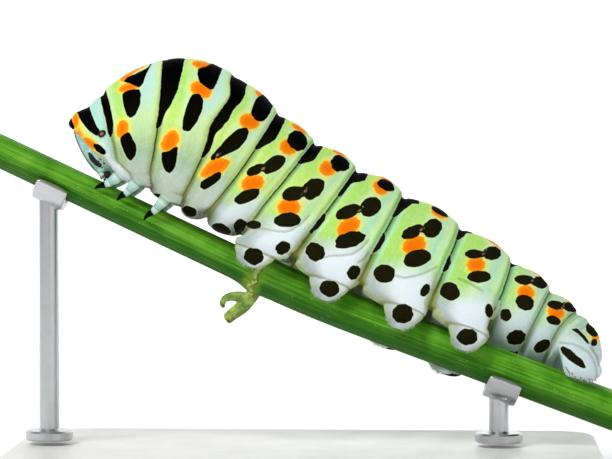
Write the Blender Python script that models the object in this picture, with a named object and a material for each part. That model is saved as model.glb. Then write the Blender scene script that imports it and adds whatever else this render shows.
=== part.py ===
"""A swallowtail larva at life size, resting on a cut length of fennel stem, on a small display stand.

The animal is laid out along the stem first, in millimetres: t runs along the stem's middle line
from its high end, y runs away from the larva's left flank, and h is the height over the middle
line. pose() then rolls each part of the body about the stem and sets the stem at its slope.
The larva's head points to -X, its left flank to -Y, and the stand's underside lies on Z = 0.
"""

import math

import bmesh
import bpy
import numpy as np
from mathutils import Matrix, Vector

MM = 0.001

# Gaps between neighbours, in millimetres
FOLD_GAP = 0.3
ROOT_GAP = 0.3
SOCKET_GAP = 0.15
# Anything smaller than this is tidied away after a cut
CRUMB = 0.012

# The stem: where its middle line starts, how it slopes, and where it bends at its joint
STEM_START_X, STEM_START_Z = -21.9, 23.5
STEM_SLOPE_HIGH, STEM_SLOPE_LOW = 25.2, 20.3
STEM_BEND_FROM, STEM_BEND_TO = 18.5, 30.0
STEM_CUT_HIGH, STEM_CUT_LOW = -0.6, 48.0
STEM_RADIUS_HIGH, STEM_RADIUS_LOW = 1.14, 1.37
STEM_RIBS, STEM_RIB_DEPTH = 11, 0.05
JOINT_AT, JOINT_WIDTH, JOINT_SWELL = 20.4, 0.7, 0.17

# The body rolls about the stem, a little at the chest and more towards the tail
ROLL_CHEST, ROLL_TAIL = 5.0, 38.0
ROLL_FROM, ROLL_TO = 10.0, 40.0

# Every fold round the body: (t, h) on the back, (t, h) on the belly, and half the width
FOLDS = (
    ((3.50, 4.00), (7.80, 2.30), 2.30),
    ((4.75, 6.70), (8.35, 2.25), 3.00),
    ((7.75, 10.90), (10.40, 2.30), 4.10),
    ((12.70, 12.05), (13.05, 2.15), 4.55),
    ((16.75, 10.90), (15.15, 2.10), 4.35),
    ((20.05, 10.20), (17.90, 2.05), 4.15),
    ((23.95, 9.80), (22.10, 2.10), 3.95),
    ((28.10, 9.55), (27.20, 2.25), 3.70),
    ((32.80, 9.20), (32.50, 2.45), 3.40),
    ((37.15, 8.35), (37.15, 2.55), 2.95),
    ((40.55, 7.20), (39.90, 2.45), 2.50),
    ((43.00, 6.25), (41.75, 2.35), 2.15),
    ((44.15, 5.75), (42.60, 2.35), 1.90),
    ((45.50, 3.90), (45.10, 2.20), 1.25),
)
# Every segment: name, how far its back swells between its folds, where it swells most, and
# how far its belly swells
SEGMENTS = (
    ("thorax_1", 0.12, 0.35, 0.20),
    ("thorax_2", 0.52, 0.45, 0.20),
    ("thorax_3", 0.60, 0.50, 0.25),
    ("abdomen_1", 0.45, 0.62, 0.48),
    ("abdomen_2", 0.42, 0.60, 0.45),
    ("abdomen_3", 0.60, 0.60, 0.22),
    ("abdomen_4", 0.72, 0.64, 0.22),
    ("abdomen_5", 0.66, 0.58, 0.22),
    ("abdomen_6", 0.64, 0.64, 0.22),
    ("abdomen_7", 0.64, 0.68, 0.22),
    ("abdomen_8", 0.46, 0.66, 0.20),
    ("abdomen_9", 0.22, 0.50, 0.12),
    ("abdomen_10", 0.40, 0.45, 0.12),
)
FLANK_SWELL = 0.42
AROUND = 24
ALONG = (0.0, 0.05, 0.15, 0.32, 0.5, 0.68, 0.85, 0.95, 1.0)
TAIL_DOME = 0.35
# The collar's rim reaches forward over both cheeks
COLLAR_BOW = 0.12

# The head capsule, hung under the collar with its face to the stem
HEAD_CENTRE = (6.35, 0.0, 3.50)
HEAD_TILT = 36.7
HEAD_MOUTH, HEAD_CROWN, HEAD_DEEP, HEAD_WIDE = 2.05, 2.50, 1.45, 2.10
HEAD_SQUARENESS = 2.8
HEAD_GROOVE, HEAD_CHEEK = 0.06, 0.05
EYE_AT, EYE_RADIUS = (1.32, 0.50), 0.42
ANTENNA_AT, ANTENNA_LENGTH, ANTENNA_RADIUS = (1.62, 0.80), 0.75, 0.26
JAW_AT, JAW_SIZE = (1.95, 0.55), (0.50, 0.62, 0.80)

# Walking legs: root, knee and claw tip as (t, side, h)
LEGS = (
    ((8.15, 1.55, 3.10), (8.00, 1.95, 1.75), (7.20, 1.44, 0.50)),
    ((10.05, 1.70, 3.20), (9.90, 2.10, 1.70), (9.10, 1.46, 0.36)),
    ((12.40, 1.80, 3.10), (12.15, 2.20, 1.55), (11.45, 1.50, -0.06)),
)
LEG_RADII = (0.62, 0.56, 0.50, 0.42, 0.46, 0.38, 0.31, 0.34, 0.26, 0.16, 0.06)

# Prolegs: their number, where each pair stands along the stem, and how low its feet reach
PROLEGS = ((3, 19.65, -0.12), (4, 25.45, -0.50), (5, 31.10, -0.85), (6, 35.90, -0.90))
# The right feet stand a little further forward and grip a little higher
RIGHT_FORWARD, RIGHT_HIGHER = 0.60, 0.30
# From root to sole: (t offset, side, share of the drop), half-length along the stem, half-thickness
PROLEG_RINGS = (
    ((-0.15, 1.90, 0.00), 1.85, 1.10),
    ((-0.20, 2.50, 0.20), 1.95, 1.20),
    ((-0.20, 2.88, 0.42), 1.85, 1.08),
    ((-0.15, 2.92, 0.56), 1.58, 0.90),
    ((-0.05, 2.80, 0.66), 1.26, 0.74),
    ((0.00, 2.76, 0.74), 1.32, 0.80),
    ((0.00, 2.56, 0.85), 1.14, 0.68),
    ((0.00, 2.26, 0.95), 0.80, 0.48),
    ((0.00, 2.04, 1.00), 0.36, 0.24),
)
PROLEG_ROOT_H = 4.1
PROLEG_AROUND = 16
ANAL_RINGS = (
    ((42.75, 1.75, 3.30), 0.62, 0.62),
    ((43.10, 1.95, 2.75), 1.05, 0.78),
    ((43.75, 2.00, 2.05), 1.28, 0.80),
    ((44.25, 1.98, 1.35), 1.12, 0.70),
    ((44.60, 1.80, 0.85), 0.72, 0.50),
    ((44.75, 1.66, 0.62), 0.32, 0.26),
)

# The cut side shoot below the stem's joint: (t, h), half-width in the stem's plane, half-thickness
SHOOT_STALK = (
    ((20.75, -0.90), 0.50, 0.50),
    ((20.60, -1.80), 0.50, 0.46),
    ((20.35, -2.60), 0.52, 0.42),
    ((19.95, -3.40), 0.46, 0.36),
    ((19.70, -4.00), 0.40, 0.30),
)
SHOOT_HOOK = (
    ((20.60, -1.95), 0.34, 0.34),
    ((19.95, -2.05), 0.40, 0.36),
    ((19.35, -2.30), 0.34, 0.30),
    ((18.98, -2.72), 0.26, 0.26),
    ((19.05, -3.12), 0.20, 0.22),
    ((19.28, -3.20), 0.10, 0.12),
)

# The stand: a flat base, and two rods with a foot and a cradle under the stem
BASE_LENGTH, BASE_DEPTH, BASE_THICK = 42.0, 22.0, 2.5
BASE_CORNER, BASE_EDGE = 3.0, 0.35
ROD_RADIUS, ROD_FOOT_RADIUS, ROD_FOOT_THICK = 0.7, 1.7, 0.7
RODS = (("stand_rod_high", 4.6), ("stand_rod_low", 39.6))
CRADLE_LENGTH, CRADLE_WALL, CRADLE_HUG = 2.4, 0.55, 78.0
ROD_SIDES = 24

WHITE_GREEN = (0.66, 0.80, 0.62)
PALE_BLUE_GREEN = (0.50, 0.70, 0.62)
STEM_GREEN = (0.16, 0.36, 0.05)
SHOOT_GREEN = (0.34, 0.48, 0.08)
NEAR_BLACK = (0.012, 0.012, 0.010)
STAND_WHITE = (0.80, 0.80, 0.78)
STEEL = (0.62, 0.62, 0.62)


def smooth_step(start, end, value):
    share = min(1.0, max(0.0, (value - start) / (end - start)))
    return share * share * (3.0 - 2.0 * share)


def mix(first, last, share):
    return first + (last - first) * share


# The stem's middle line, worked out in small steps

LINE_STEP = 0.01
LINE_T = np.arange(-3.0, 52.0, LINE_STEP)


def slope_at(t):
    return math.radians(mix(STEM_SLOPE_HIGH, STEM_SLOPE_LOW, smooth_step(STEM_BEND_FROM, STEM_BEND_TO, t)))


LINE_SLOPE = np.array([slope_at(t) for t in LINE_T])
LINE_X = np.cumsum(np.cos(LINE_SLOPE)) * LINE_STEP
LINE_Z = -np.cumsum(np.sin(LINE_SLOPE)) * LINE_STEP
LINE_X += STEM_START_X - np.interp(0.0, LINE_T, LINE_X)
LINE_Z += STEM_START_Z - np.interp(0.0, LINE_T, LINE_Z)


def on_stem(t, y, h):
    """The world point, in metres, that stands h over and y beside the stem's middle line at t."""
    slope = slope_at(t)
    x = np.interp(t, LINE_T, LINE_X) + h * math.sin(slope)
    z = np.interp(t, LINE_T, LINE_Z) + h * math.cos(slope)
    return Vector((x, y, z)) * MM


def pose(t, y, h):
    """The same for a point of the larva, which is rolled about the stem."""
    roll = math.radians(mix(ROLL_CHEST, ROLL_TAIL, smooth_step(ROLL_FROM, ROLL_TO, t)))
    return on_stem(t, y * math.cos(roll) + h * math.sin(roll), h * math.cos(roll) - y * math.sin(roll))


# Mesh helpers


def material(name, colour, roughness, metallic=0.0):
    made = bpy.data.materials.get(name)
    if made is None:
        made = bpy.data.materials.new(name)
        made.use_nodes = True
        shader = made.node_tree.nodes["Principled BSDF"]
        shader.inputs["Base Color"].default_value = (*colour, 1.0)
        shader.inputs["Roughness"].default_value = roughness
        shader.inputs["Metallic"].default_value = metallic
    return made


def face_out(bm):
    bm.normal_update()
    bmesh.ops.recalc_face_normals(bm, faces=bm.faces)
    if bm.calc_volume(signed=True) < 0.0:
        bmesh.ops.reverse_faces(bm, faces=bm.faces)


def add_object(name, bm, look=None):
    """Makes an object of a mesh built in world space, with its origin at its own middle."""
    face_out(bm)
    corners = [v.co for v in bm.verts]
    middle = sum(corners, Vector()) / len(corners)
    bmesh.ops.translate(bm, verts=bm.verts, vec=-middle)
    mesh = bpy.data.meshes.new(name)
    bm.to_mesh(mesh)
    bm.free()
    mesh.shade_smooth()
    mesh.set_sharp_from_angle(angle=math.radians(50))
    made = bpy.data.objects.new(name, mesh)
    made.location = middle
    bpy.context.scene.collection.objects.link(made)
    if look:
        mesh.materials.append(look)
    else:
        made.hide_render = True
        made.display_type = "WIRE"
    return made


def loft(rings):
    """A closed mesh through rings of world points that all have the same count."""
    bm = bmesh.new()
    rows = [[bm.verts.new(p) for p in ring] for ring in rings]
    count = len(rows[0])
    for row, after in zip(rows, rows[1:]):
        for i in range(count):
            j = (i + 1) % count
            bm.faces.new((row[i], row[j], after[j], after[i]))
    for row in (rows[0], rows[-1]):
        middle = bm.verts.new(sum((v.co for v in row), Vector()) / count)
        for i in range(count):
            bm.faces.new((row[i], row[(i + 1) % count], middle))
    return bm


def grown_copy(piece, gap):
    """A hidden copy of a piece, larger all round by the gap in millimetres."""
    bm = bmesh.new()
    bm.from_mesh(piece.data)
    bmesh.ops.transform(bm, matrix=piece.matrix_world, verts=bm.verts)
    bm.normal_update()
    moves = [v.normal * min(v.calc_shell_factor(), 1.6) * gap * MM for v in bm.verts]
    for vert, move in zip(bm.verts, moves):
        vert.co += move
    return add_object("cutter", bm)


def combine(piece, other, operation):
    """Applies one Boolean to a piece and removes the other object."""
    step = piece.modifiers.new("combine", "BOOLEAN")
    step.operation = operation
    step.solver = "MANIFOLD"
    step.object = other
    bpy.context.view_layer.update()
    graph = bpy.context.evaluated_depsgraph_get()
    result = bpy.data.meshes.new_from_object(piece.evaluated_get(graph))
    piece.modifiers.clear()
    old = piece.data
    piece.data = result
    bpy.data.meshes.remove(old)
    bpy.data.objects.remove(other)


def cut_clear(piece, neighbours, gap):
    """Cuts a piece back so that it keeps the gap to each neighbour."""
    bpy.context.view_layer.update()
    for neighbour in neighbours:
        combine(piece, grown_copy(neighbour, gap), "DIFFERENCE")
    keep_largest(piece)


def keep_largest(piece):
    """Drops every loose scrap, so that a node is one closed surface."""
    bm = bmesh.new()
    bm.from_mesh(piece.data)
    bmesh.ops.remove_doubles(bm, verts=bm.verts, dist=CRUMB * MM)
    bmesh.ops.dissolve_degenerate(bm, dist=CRUMB * MM, edges=bm.edges)
    bodies, seen = [], set()
    for start in bm.verts:
        if start in seen:
            continue
        body, waiting = [], [start]
        seen.add(start)
        while waiting:
            vert = waiting.pop()
            body.append(vert)
            for edge in vert.link_edges:
                other = edge.other_vert(vert)
                if other not in seen:
                    seen.add(other)
                    waiting.append(other)
        bodies.append(body)
    bodies.sort(key=len, reverse=True)
    for body in bodies[1:]:
        bmesh.ops.delete(bm, geom=body, context="VERTS")
    face_out(bm)
    bm.to_mesh(piece.data)
    bm.free()
    piece.data.update()


def oval(centre, long_way, wide_way, count):
    """Points round an oval about a centre; the two ways are half its axes, as vectors."""
    turns = [2.0 * math.pi * i / count for i in range(count)]
    return [centre + long_way * math.cos(a) + wide_way * math.sin(a) for a in turns]


# The body


def fold_at(segment, along):
    """Back point, belly point and half-width at a share of the way between a segment's two folds."""
    (back_a, belly_a, wide_a), (back_b, belly_b, wide_b) = FOLDS[segment], FOLDS[segment + 1]
    back = Vector(back_a).lerp(Vector(back_b), along)
    belly = Vector(belly_a).lerp(Vector(belly_b), along)
    return back, belly, mix(wide_a, wide_b, along)


def swell_at(segment, along, angle):
    """How far the skin stands out between two folds: back, flank and belly each in their own way."""
    _, back_swell, crest, belly_swell = SEGMENTS[segment]
    skew = math.log(0.5) / math.log(crest)
    inside = min(1.0, max(0.0, along))
    back = back_swell * math.sin(math.pi * inside**skew) ** 0.75
    flank = FLANK_SWELL * math.sin(math.pi * inside) ** 0.6
    belly = belly_swell * math.sin(math.pi * inside) ** 0.7
    up, side = math.cos(angle), math.sin(angle)
    return (back if up > 0 else belly) * up * up + flank * side * side


def skin_point(segment, along, angle):
    """A point of the larva before it is posed. The angle is 0 on the back and grows to the left."""
    back, belly, half_wide = fold_at(segment, along)
    middle, half_high = (back + belly) / 2.0, (back - belly) / 2.0
    up, side = math.cos(angle), math.sin(angle)
    if up < 0.0:
        up, side = -(abs(up) ** 0.8), math.copysign(abs(side) ** 0.85, side)
    swell = swell_at(segment, along, angle)
    rise = half_high + half_high.normalized() * swell
    spot = middle + rise * up
    if segment == 0:
        forward = Vector((-half_high.y, half_high.x)).normalized()
        spot += forward * COLLAR_BOW * side * side * (1.0 - along)
    return spot.x, -(half_wide + swell) * side, spot.y


def body_ring(segment, share):
    """One ring of skin points. At a fold the ring keeps half the gap to it, all the way round."""
    ring = []
    for i in range(AROUND):
        angle = 2.0 * math.pi * i / AROUND
        front, rear = (Vector(skin_point(segment, end, angle)) for end in (0.0, 1.0))
        margin = FOLD_GAP / 2.0 / max((rear - front).length, 0.6)
        ring.append(pose(*skin_point(segment, mix(margin, 1.0 - margin, share), angle)))
    return ring


def tail_dome_rings():
    """The rings that close the last segment behind its rear edge."""
    back, belly, half_wide = fold_at(len(SEGMENTS) - 1, 1.0)
    middle, half_high = (back + belly) / 2.0, (back - belly) / 2.0
    rearward = Vector((half_high.y, -half_high.x)).normalized()
    rings = []
    for turn in (35.0, 65.0):
        scale, reach = math.cos(math.radians(turn)), math.sin(math.radians(turn)) * TAIL_DOME
        ring = []
        for i in range(AROUND):
            angle = 2.0 * math.pi * i / AROUND
            spot = middle + half_high * scale * math.cos(angle) + rearward * reach
            ring.append(pose(spot.x, -half_wide * scale * math.sin(angle), spot.y))
        rings.append(ring)
    return rings


def build_body():
    skin = material("skin", WHITE_GREEN, 0.45)
    made = []
    for segment, (name, *_) in enumerate(SEGMENTS):
        rings = [body_ring(segment, share) for share in ALONG]
        if segment == len(SEGMENTS) - 1:
            rings += tail_dome_rings()
        made.append(add_object(name, loft(rings), skin))
    return made


# The head


def head_axes():
    """The head's own directions: down the face to the mouth, and straight out of the face."""
    tilt = math.radians(HEAD_TILT)
    down = Vector((math.cos(tilt), 0.0, -math.sin(tilt)))
    out = Vector((-math.sin(tilt), 0.0, -math.cos(tilt)))
    return down, out


def head_surface(down_part, out_part, side_part):
    """A point of the capsule from its parts of the half axes: two cheeks with a groove between."""
    down, out = head_axes()
    mouth = max(0.0, down_part)
    reach = HEAD_MOUTH if down_part > 0.0 else HEAD_CROWN
    cheeks = HEAD_CHEEK * math.exp(-(((abs(side_part) - 0.45) / 0.3) ** 2)) * (1.0 - mouth)
    groove = HEAD_GROOVE * math.exp(-((side_part / 0.15) ** 2)) * (1.0 - 0.6 * mouth)
    narrowing = 1.0 - 0.16 * mouth * mouth
    shape = down * (down_part * reach) + out * (out_part * HEAD_DEEP)
    shape += Vector((0.0, side_part * HEAD_WIDE * narrowing, 0.0))
    return Vector(HEAD_CENTRE) + shape * (1.0 + cheeks - groove)


def head_parts(down_mm, out_mm, side):
    """The parts of the half axes for the spot on one side that lies this far from the middle."""
    down_part, out_part = down_mm / HEAD_MOUTH, out_mm / HEAD_DEEP
    left_over = 1.0 - abs(down_part) ** HEAD_SQUARENESS - abs(out_part) ** HEAD_SQUARENESS
    return down_part, out_part, side * max(0.0, left_over) ** (1.0 / HEAD_SQUARENESS)


def head_normal(down_part, out_part, side_part):
    down, out = head_axes()
    slant = down * (down_part / HEAD_MOUTH) + out * (out_part / HEAD_DEEP)
    return (slant + Vector((0.0, side_part / HEAD_WIDE, 0.0))).normalized()


def posed_ball(name, centre, half_axes, look, meridians=12, parallels=8):
    """A ball with three half axes, given as vectors before posing."""
    bm = bmesh.new()
    bmesh.ops.create_uvsphere(bm, u_segments=meridians, v_segments=parallels, radius=1.0)
    for vert in bm.verts:
        spot = centre + sum((axis * part for axis, part in zip(half_axes, vert.co)), Vector())
        vert.co = pose(*spot)
    return add_object(name, bm, look)


def across(direction):
    """Two directions square to one another and to the given one."""
    first = direction.orthogonal().normalized()
    return first, direction.cross(first).normalized()


def build_head(collar):
    shell = material("head shell", PALE_BLUE_GREEN, 0.35)
    dark = material("eye black", NEAR_BLACK, 0.15)
    jaw_look = material("jaw", (0.16, 0.13, 0.08), 0.35)
    bm = bmesh.new()
    bmesh.ops.create_uvsphere(bm, u_segments=28, v_segments=16, radius=1.0)
    for vert in bm.verts:
        power = sum(abs(part) ** HEAD_SQUARENESS for part in vert.co)
        way = vert.co / power ** (1.0 / HEAD_SQUARENESS)
        vert.co = pose(*head_surface(way.z, way.x, way.y))
    head = add_object("head", bm, shell)
    cut_clear(head, [collar], ROOT_GAP)
    down, out = head_axes()
    fittings = []
    for side, word in ((-1.0, "left"), (1.0, "right")):
        parts = head_parts(*EYE_AT, side)
        spot, normal = head_surface(*parts), head_normal(*parts)
        first, second = across(normal)
        axes = (first * EYE_RADIUS, second * EYE_RADIUS, normal * EYE_RADIUS * 0.6)
        fittings.append(posed_ball(f"eye_{word}", spot, axes, dark))
        parts = head_parts(*ANTENNA_AT, side)
        spot, normal = head_surface(*parts), head_normal(*parts)
        fittings.append(build_antenna(f"antenna_{word}", spot, (normal + down * 0.8).normalized(), shell))
    jaw_axes = (down * JAW_SIZE[0], out * JAW_SIZE[1], Vector((0.0, JAW_SIZE[2], 0.0)))
    centre = Vector(HEAD_CENTRE) + down * JAW_AT[0] + out * JAW_AT[1]
    fittings.append(posed_ball("jaws", centre, jaw_axes, jaw_look, 14, 8))
    for fitting in fittings:
        cut_clear(fitting, [collar], ROOT_GAP)
    cut_clear(head, fittings, SOCKET_GAP)


def build_antenna(name, root, direction, look):
    """A stout three-jointed feeler, its root sunk in a socket of the head."""
    first, second = across(direction)
    shape = ((-0.28, 1.0), (0.12, 1.0), (0.2, 0.78), (0.55, 0.72), (0.63, 0.5), (0.92, 0.4), (1.0, 0.16))
    rings = []
    for share, scale in shape:
        centre = root + direction * ANTENNA_LENGTH * share
        radius = ANTENNA_RADIUS * scale
        rings.append([pose(*p) for p in oval(centre, first * radius, second * radius, 10)])
    return add_object(name, loft(rings), look)


# Legs and prolegs


def bent_line(root, knee, tip, share):
    """A point of the smooth curve from root to tip that is drawn towards the knee."""
    return root.lerp(knee, share).lerp(knee.lerp(tip, share), share)


def build_legs(segments):
    look = material("leg", PALE_BLUE_GREEN, 0.4)
    for number, spots in enumerate(LEGS, start=1):
        for side, word in ((-1.0, "left"), (1.0, "right")):
            root, knee, tip = (Vector((t, side * y, h)) for t, y, h in spots)
            rings = []
            for i, radius in enumerate(LEG_RADII):
                share = i / (len(LEG_RADII) - 1)
                centre = bent_line(root, knee, tip, share)
                ahead = bent_line(root, knee, tip, share + 0.02)
                first, second = across((ahead - centre).normalized())
                rings.append([pose(*p) for p in oval(centre, first * radius, second * radius, 10)])
            leg = add_object(f"leg_{word}_{number}", loft(rings), look)
            cut_clear(leg, segments[max(0, number - 2) : number + 1], ROOT_GAP)


def foot_rings(rings, side, count):
    """Rings of a proleg from (t, side, h) centres; each ring lies square to the way down."""
    centres = [Vector((t, side * y, h)) for (t, y, h), _, _ in rings]
    made = []
    for i, (_, half_long, half_thick) in enumerate(rings):
        before, after = centres[max(0, i - 1)], centres[min(len(centres) - 1, i + 1)]
        way = (after - before).normalized()
        along = Vector((1.0, 0.0, 0.0))
        along = (along - way * along.dot(way)).normalized()
        thick = way.cross(along).normalized()
        made.append([pose(*p) for p in oval(centres[i], along * half_long, thick * half_thick, count)])
    return made


def build_prolegs(segments, stem):
    look = material("skin", WHITE_GREEN, 0.45)
    for number, at, sole in PROLEGS:
        segment = number + 2
        for side, word in ((-1.0, "left"), (1.0, "right")):
            if side > 0.0:
                at, sole = at - RIGHT_FORWARD, sole + RIGHT_HIGHER
            rings = [
                ((at + shift, y, mix(PROLEG_ROOT_H, sole, drop)), half_long, half_thick)
                for (shift, y, drop), half_long, half_thick in PROLEG_RINGS
            ]
            foot = add_object(f"proleg_{word}_{number}", loft(foot_rings(rings, side, PROLEG_AROUND)), look)
            cut_clear(foot, [*segments[segment - 1 : segment + 2], stem], ROOT_GAP)
    for side, word in ((-1.0, "left"), (1.0, "right")):
        foot = add_object(f"anal_proleg_{word}", loft(foot_rings(ANAL_RINGS, side, PROLEG_AROUND)), look)
        cut_clear(foot, [*segments[-3:], stem], ROOT_GAP)


# The perch


def stem_radius(t):
    joint = math.exp(-(((t - JOINT_AT) / JOINT_WIDTH) ** 2))
    grown = smooth_step(JOINT_AT - 2.0, JOINT_AT + 1.0, t)
    return mix(STEM_RADIUS_HIGH, STEM_RADIUS_LOW, grown) + JOINT_SWELL * joint


def build_stem():
    stations = [STEM_CUT_HIGH, 4.0, 9.0, 14.0, 17.5, 19.2, 19.9, 20.4, 20.9, 21.6, 24.0, 28.0, 33.0, 38.0, 43.0]
    rings = []
    for t in [*stations, STEM_CUT_LOW]:
        ring = []
        for i in range(2 * STEM_RIBS):
            angle = math.pi * i / STEM_RIBS
            radius = stem_radius(t) + STEM_RIB_DEPTH * (0.5 if i % 2 == 0 else -0.5)
            ring.append(on_stem(t, radius * math.sin(angle), radius * math.cos(angle)))
        rings.append(ring)
    return add_object("perch_stem", loft(rings), material("stem", STEM_GREEN, 0.45))


def shoot_rings(sections):
    centres = [Vector((t, 0.0, h)) for (t, h), _, _ in sections]
    rings = []
    for i, (_, half_wide, half_thick) in enumerate(sections):
        way = (centres[min(len(centres) - 1, i + 1)] - centres[max(0, i - 1)]).normalized()
        thick = Vector((0.0, 1.0, 0.0))
        wide = way.cross(thick).normalized()
        rings.append([on_stem(*p) for p in oval(centres[i], wide * half_wide, thick * half_thick, 10)])
    return rings


def build_shoot(stem):
    look = material("shoot", SHOOT_GREEN, 0.5)
    shoot = add_object("perch_shoot", loft(shoot_rings(SHOOT_STALK)), look)
    hook = add_object("hook", loft(shoot_rings(SHOOT_HOOK)))
    combine(shoot, hook, "UNION")
    cut_clear(shoot, [stem], ROOT_GAP)


# The stand


def upright(name, radius, low, high, x, look=None):
    """An upright round bar between two heights, in millimetres."""
    bm = bmesh.new()
    middle = Matrix.Translation(Vector((x, 0.0, (low + high) / 2.0)) * MM)
    bmesh.ops.create_cone(
        bm,
        cap_ends=True,
        segments=ROD_SIDES,
        radius1=radius * MM,
        radius2=radius * MM,
        depth=(high - low) * MM,
        matrix=middle,
    )
    return add_object(name, bm, look)


def build_base():
    """A flat plate with rounded corners and an eased upper edge."""
    bm = bmesh.new()
    bmesh.ops.create_cube(bm, size=1.0)
    scale = Matrix.Diagonal(Vector((BASE_LENGTH, BASE_DEPTH, BASE_THICK)) * MM).to_4x4()
    lift = Matrix.Translation((0.0, 0.0, BASE_THICK / 2.0 * MM))
    bmesh.ops.transform(bm, matrix=lift @ scale, verts=bm.verts)
    corners = [e for e in bm.edges if abs(e.verts[0].co.z - e.verts[1].co.z) > BASE_THICK / 2.0 * MM]
    bmesh.ops.bevel(bm, geom=corners, offset=BASE_CORNER * MM, segments=6, affect="EDGES", profile=0.5)
    top = [e for e in bm.edges if min(v.co.z for v in e.verts) > (BASE_THICK - 0.01) * MM]
    bmesh.ops.bevel(bm, geom=top, offset=BASE_EDGE * MM, segments=2, affect="EDGES", profile=0.5)
    return add_object("stand_base", bm, material("stand white", STAND_WHITE, 0.4))


def cradle_radius(at):
    return stem_radius(at) + ROOT_GAP + CRADLE_WALL


def build_cradle(at):
    """The saddle that hugs the stem from below, before the stem's own shape is cut from it."""
    radius = cradle_radius(at)
    turns = [math.radians(mix(-CRADLE_HUG, CRADLE_HUG, i / 12)) for i in range(13)]
    rings = []
    for t in (at - CRADLE_LENGTH / 2.0, at + CRADLE_LENGTH / 2.0):
        rings.append([on_stem(t, radius * math.sin(a), -radius * math.cos(a)) for a in turns])
    return add_object("cradle", loft(rings))


def build_rods(stem):
    steel = material("steel", STEEL, 0.3, 1.0)
    floor = BASE_THICK + ROOT_GAP
    for name, at in RODS:
        top = on_stem(at, 0.0, CRADLE_WALL / 2.0 - cradle_radius(at)) / MM
        rod = upright(name, ROD_RADIUS, floor, top.z, top.x, steel)
        combine(rod, upright("foot", ROD_FOOT_RADIUS, floor, floor + ROD_FOOT_THICK, top.x), "UNION")
        combine(rod, build_cradle(at), "UNION")
        cut_clear(rod, [stem], ROOT_GAP)


def main():
    for old in list(bpy.data.objects):
        bpy.data.objects.remove(old)
    segments = build_body()
    build_head(segments[0])
    build_legs(segments)
    stem = build_stem()
    build_prolegs(segments, stem)
    build_shoot(stem)
    build_base()
    build_rods(stem)


main()
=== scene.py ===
# %% [markdown]
# A swallowtail larva in its last skin, 42 mm long, rests head up on a cut length of fennel stem,
# and the stem stands on two small steel rods over a white base. The model of the parts, with
# their sizes and places, comes from the frame. This file gives every part its finish and builds
# the soft body anew, as one skin without a seam.

# %% The frame
import math

import bpy
import numpy as np
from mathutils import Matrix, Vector
from mathutils.bvhtree import BVHTree


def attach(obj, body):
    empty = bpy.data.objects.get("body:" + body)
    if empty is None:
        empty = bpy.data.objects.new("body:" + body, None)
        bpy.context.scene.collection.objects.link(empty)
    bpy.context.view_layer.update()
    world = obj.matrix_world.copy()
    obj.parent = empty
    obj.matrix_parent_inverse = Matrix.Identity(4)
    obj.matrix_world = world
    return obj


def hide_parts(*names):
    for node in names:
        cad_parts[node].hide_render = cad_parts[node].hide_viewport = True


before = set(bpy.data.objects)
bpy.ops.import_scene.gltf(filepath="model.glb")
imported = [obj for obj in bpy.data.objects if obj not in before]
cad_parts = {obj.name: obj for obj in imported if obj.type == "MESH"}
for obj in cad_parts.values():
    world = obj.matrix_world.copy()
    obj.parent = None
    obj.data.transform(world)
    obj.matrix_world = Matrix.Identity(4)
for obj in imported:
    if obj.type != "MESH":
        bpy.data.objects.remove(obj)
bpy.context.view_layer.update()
MM = 0.001
print("parts in the frame:", len(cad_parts))

# %% [markdown]
# The camera looks at the larva's left flank from very nearly its own height, a little from its
# tail side, with a long lens, so that the stem's slope and the body's proportions stay true.

# %% The camera
SHOT_TURN, SHOT_RISE, SHOT_DISTANCE = 3.0, 2.0, 200.0
SHOT_HEIGHT, SHOT_WIDTH, SENSOR, CLIP_START = 17.96, 43.7, 36.0, 0.01

turn, rise = math.radians(SHOT_TURN), math.radians(SHOT_RISE)
aim = Vector((0.0, 0.0, SHOT_HEIGHT)) * MM
way_back = Vector((math.sin(turn) * math.cos(rise), -math.cos(turn) * math.cos(rise), math.sin(rise)))
bpy.ops.object.select_all(action="DESELECT")
bpy.ops.object.camera_add(location=aim + way_back * SHOT_DISTANCE * MM)
camera = bpy.context.object
camera.name = "camera"
camera.rotation_euler = way_back.to_track_quat("Z", "Y").to_euler()
camera.data.sensor_width = SENSOR
camera.data.lens = SENSOR * SHOT_DISTANCE / SHOT_WIDTH
camera.data.clip_start = CLIP_START
bpy.context.scene.camera = camera
print("lens:", round(camera.data.lens, 1), "mm")

# %% [markdown]
# A larva hugs its stem, so it is laid out along the stem first, in millimetres: t runs down the
# stem's middle line from its high end, y runs across, and h is the height over that line. All
# shaping and marking is easy there. At the end one function rolls the body about the stem, a
# little at the chest and more at the tail, and another sets the stem at its slope.

# %% Along the stem
STEM_START_X, STEM_START_Z = -21.9, 23.5
LINE_FROM, LINE_TO = -3.0, 52.0
STEM_SLOPE_HIGH, STEM_SLOPE_LOW = 25.2, 20.3
STEM_BEND_FROM, STEM_BEND_TO = 18.5, 30.0
ROLL_CHEST, ROLL_TAIL = 5.0, 38.0
ROLL_FROM, ROLL_TO = 10.0, 40.0
LINE_STEP = 0.01


def ease(start, end, value):
    """A smooth step from 0 to 1 between two values."""
    share = np.clip((value - start) / (end - start), 0.0, 1.0)
    return share * share * (3.0 - 2.0 * share)


def mix(first, last, share):
    return first + (last - first) * share


def bell(away, wide):
    """1 in the middle, falling off smoothly to both sides."""
    return np.exp(-((away / wide) ** 2))


def slope_at(t):
    return np.radians(mix(STEM_SLOPE_HIGH, STEM_SLOPE_LOW, ease(STEM_BEND_FROM, STEM_BEND_TO, t)))


def roll_at(t):
    return np.radians(mix(ROLL_CHEST, ROLL_TAIL, ease(ROLL_FROM, ROLL_TO, t)))


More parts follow.
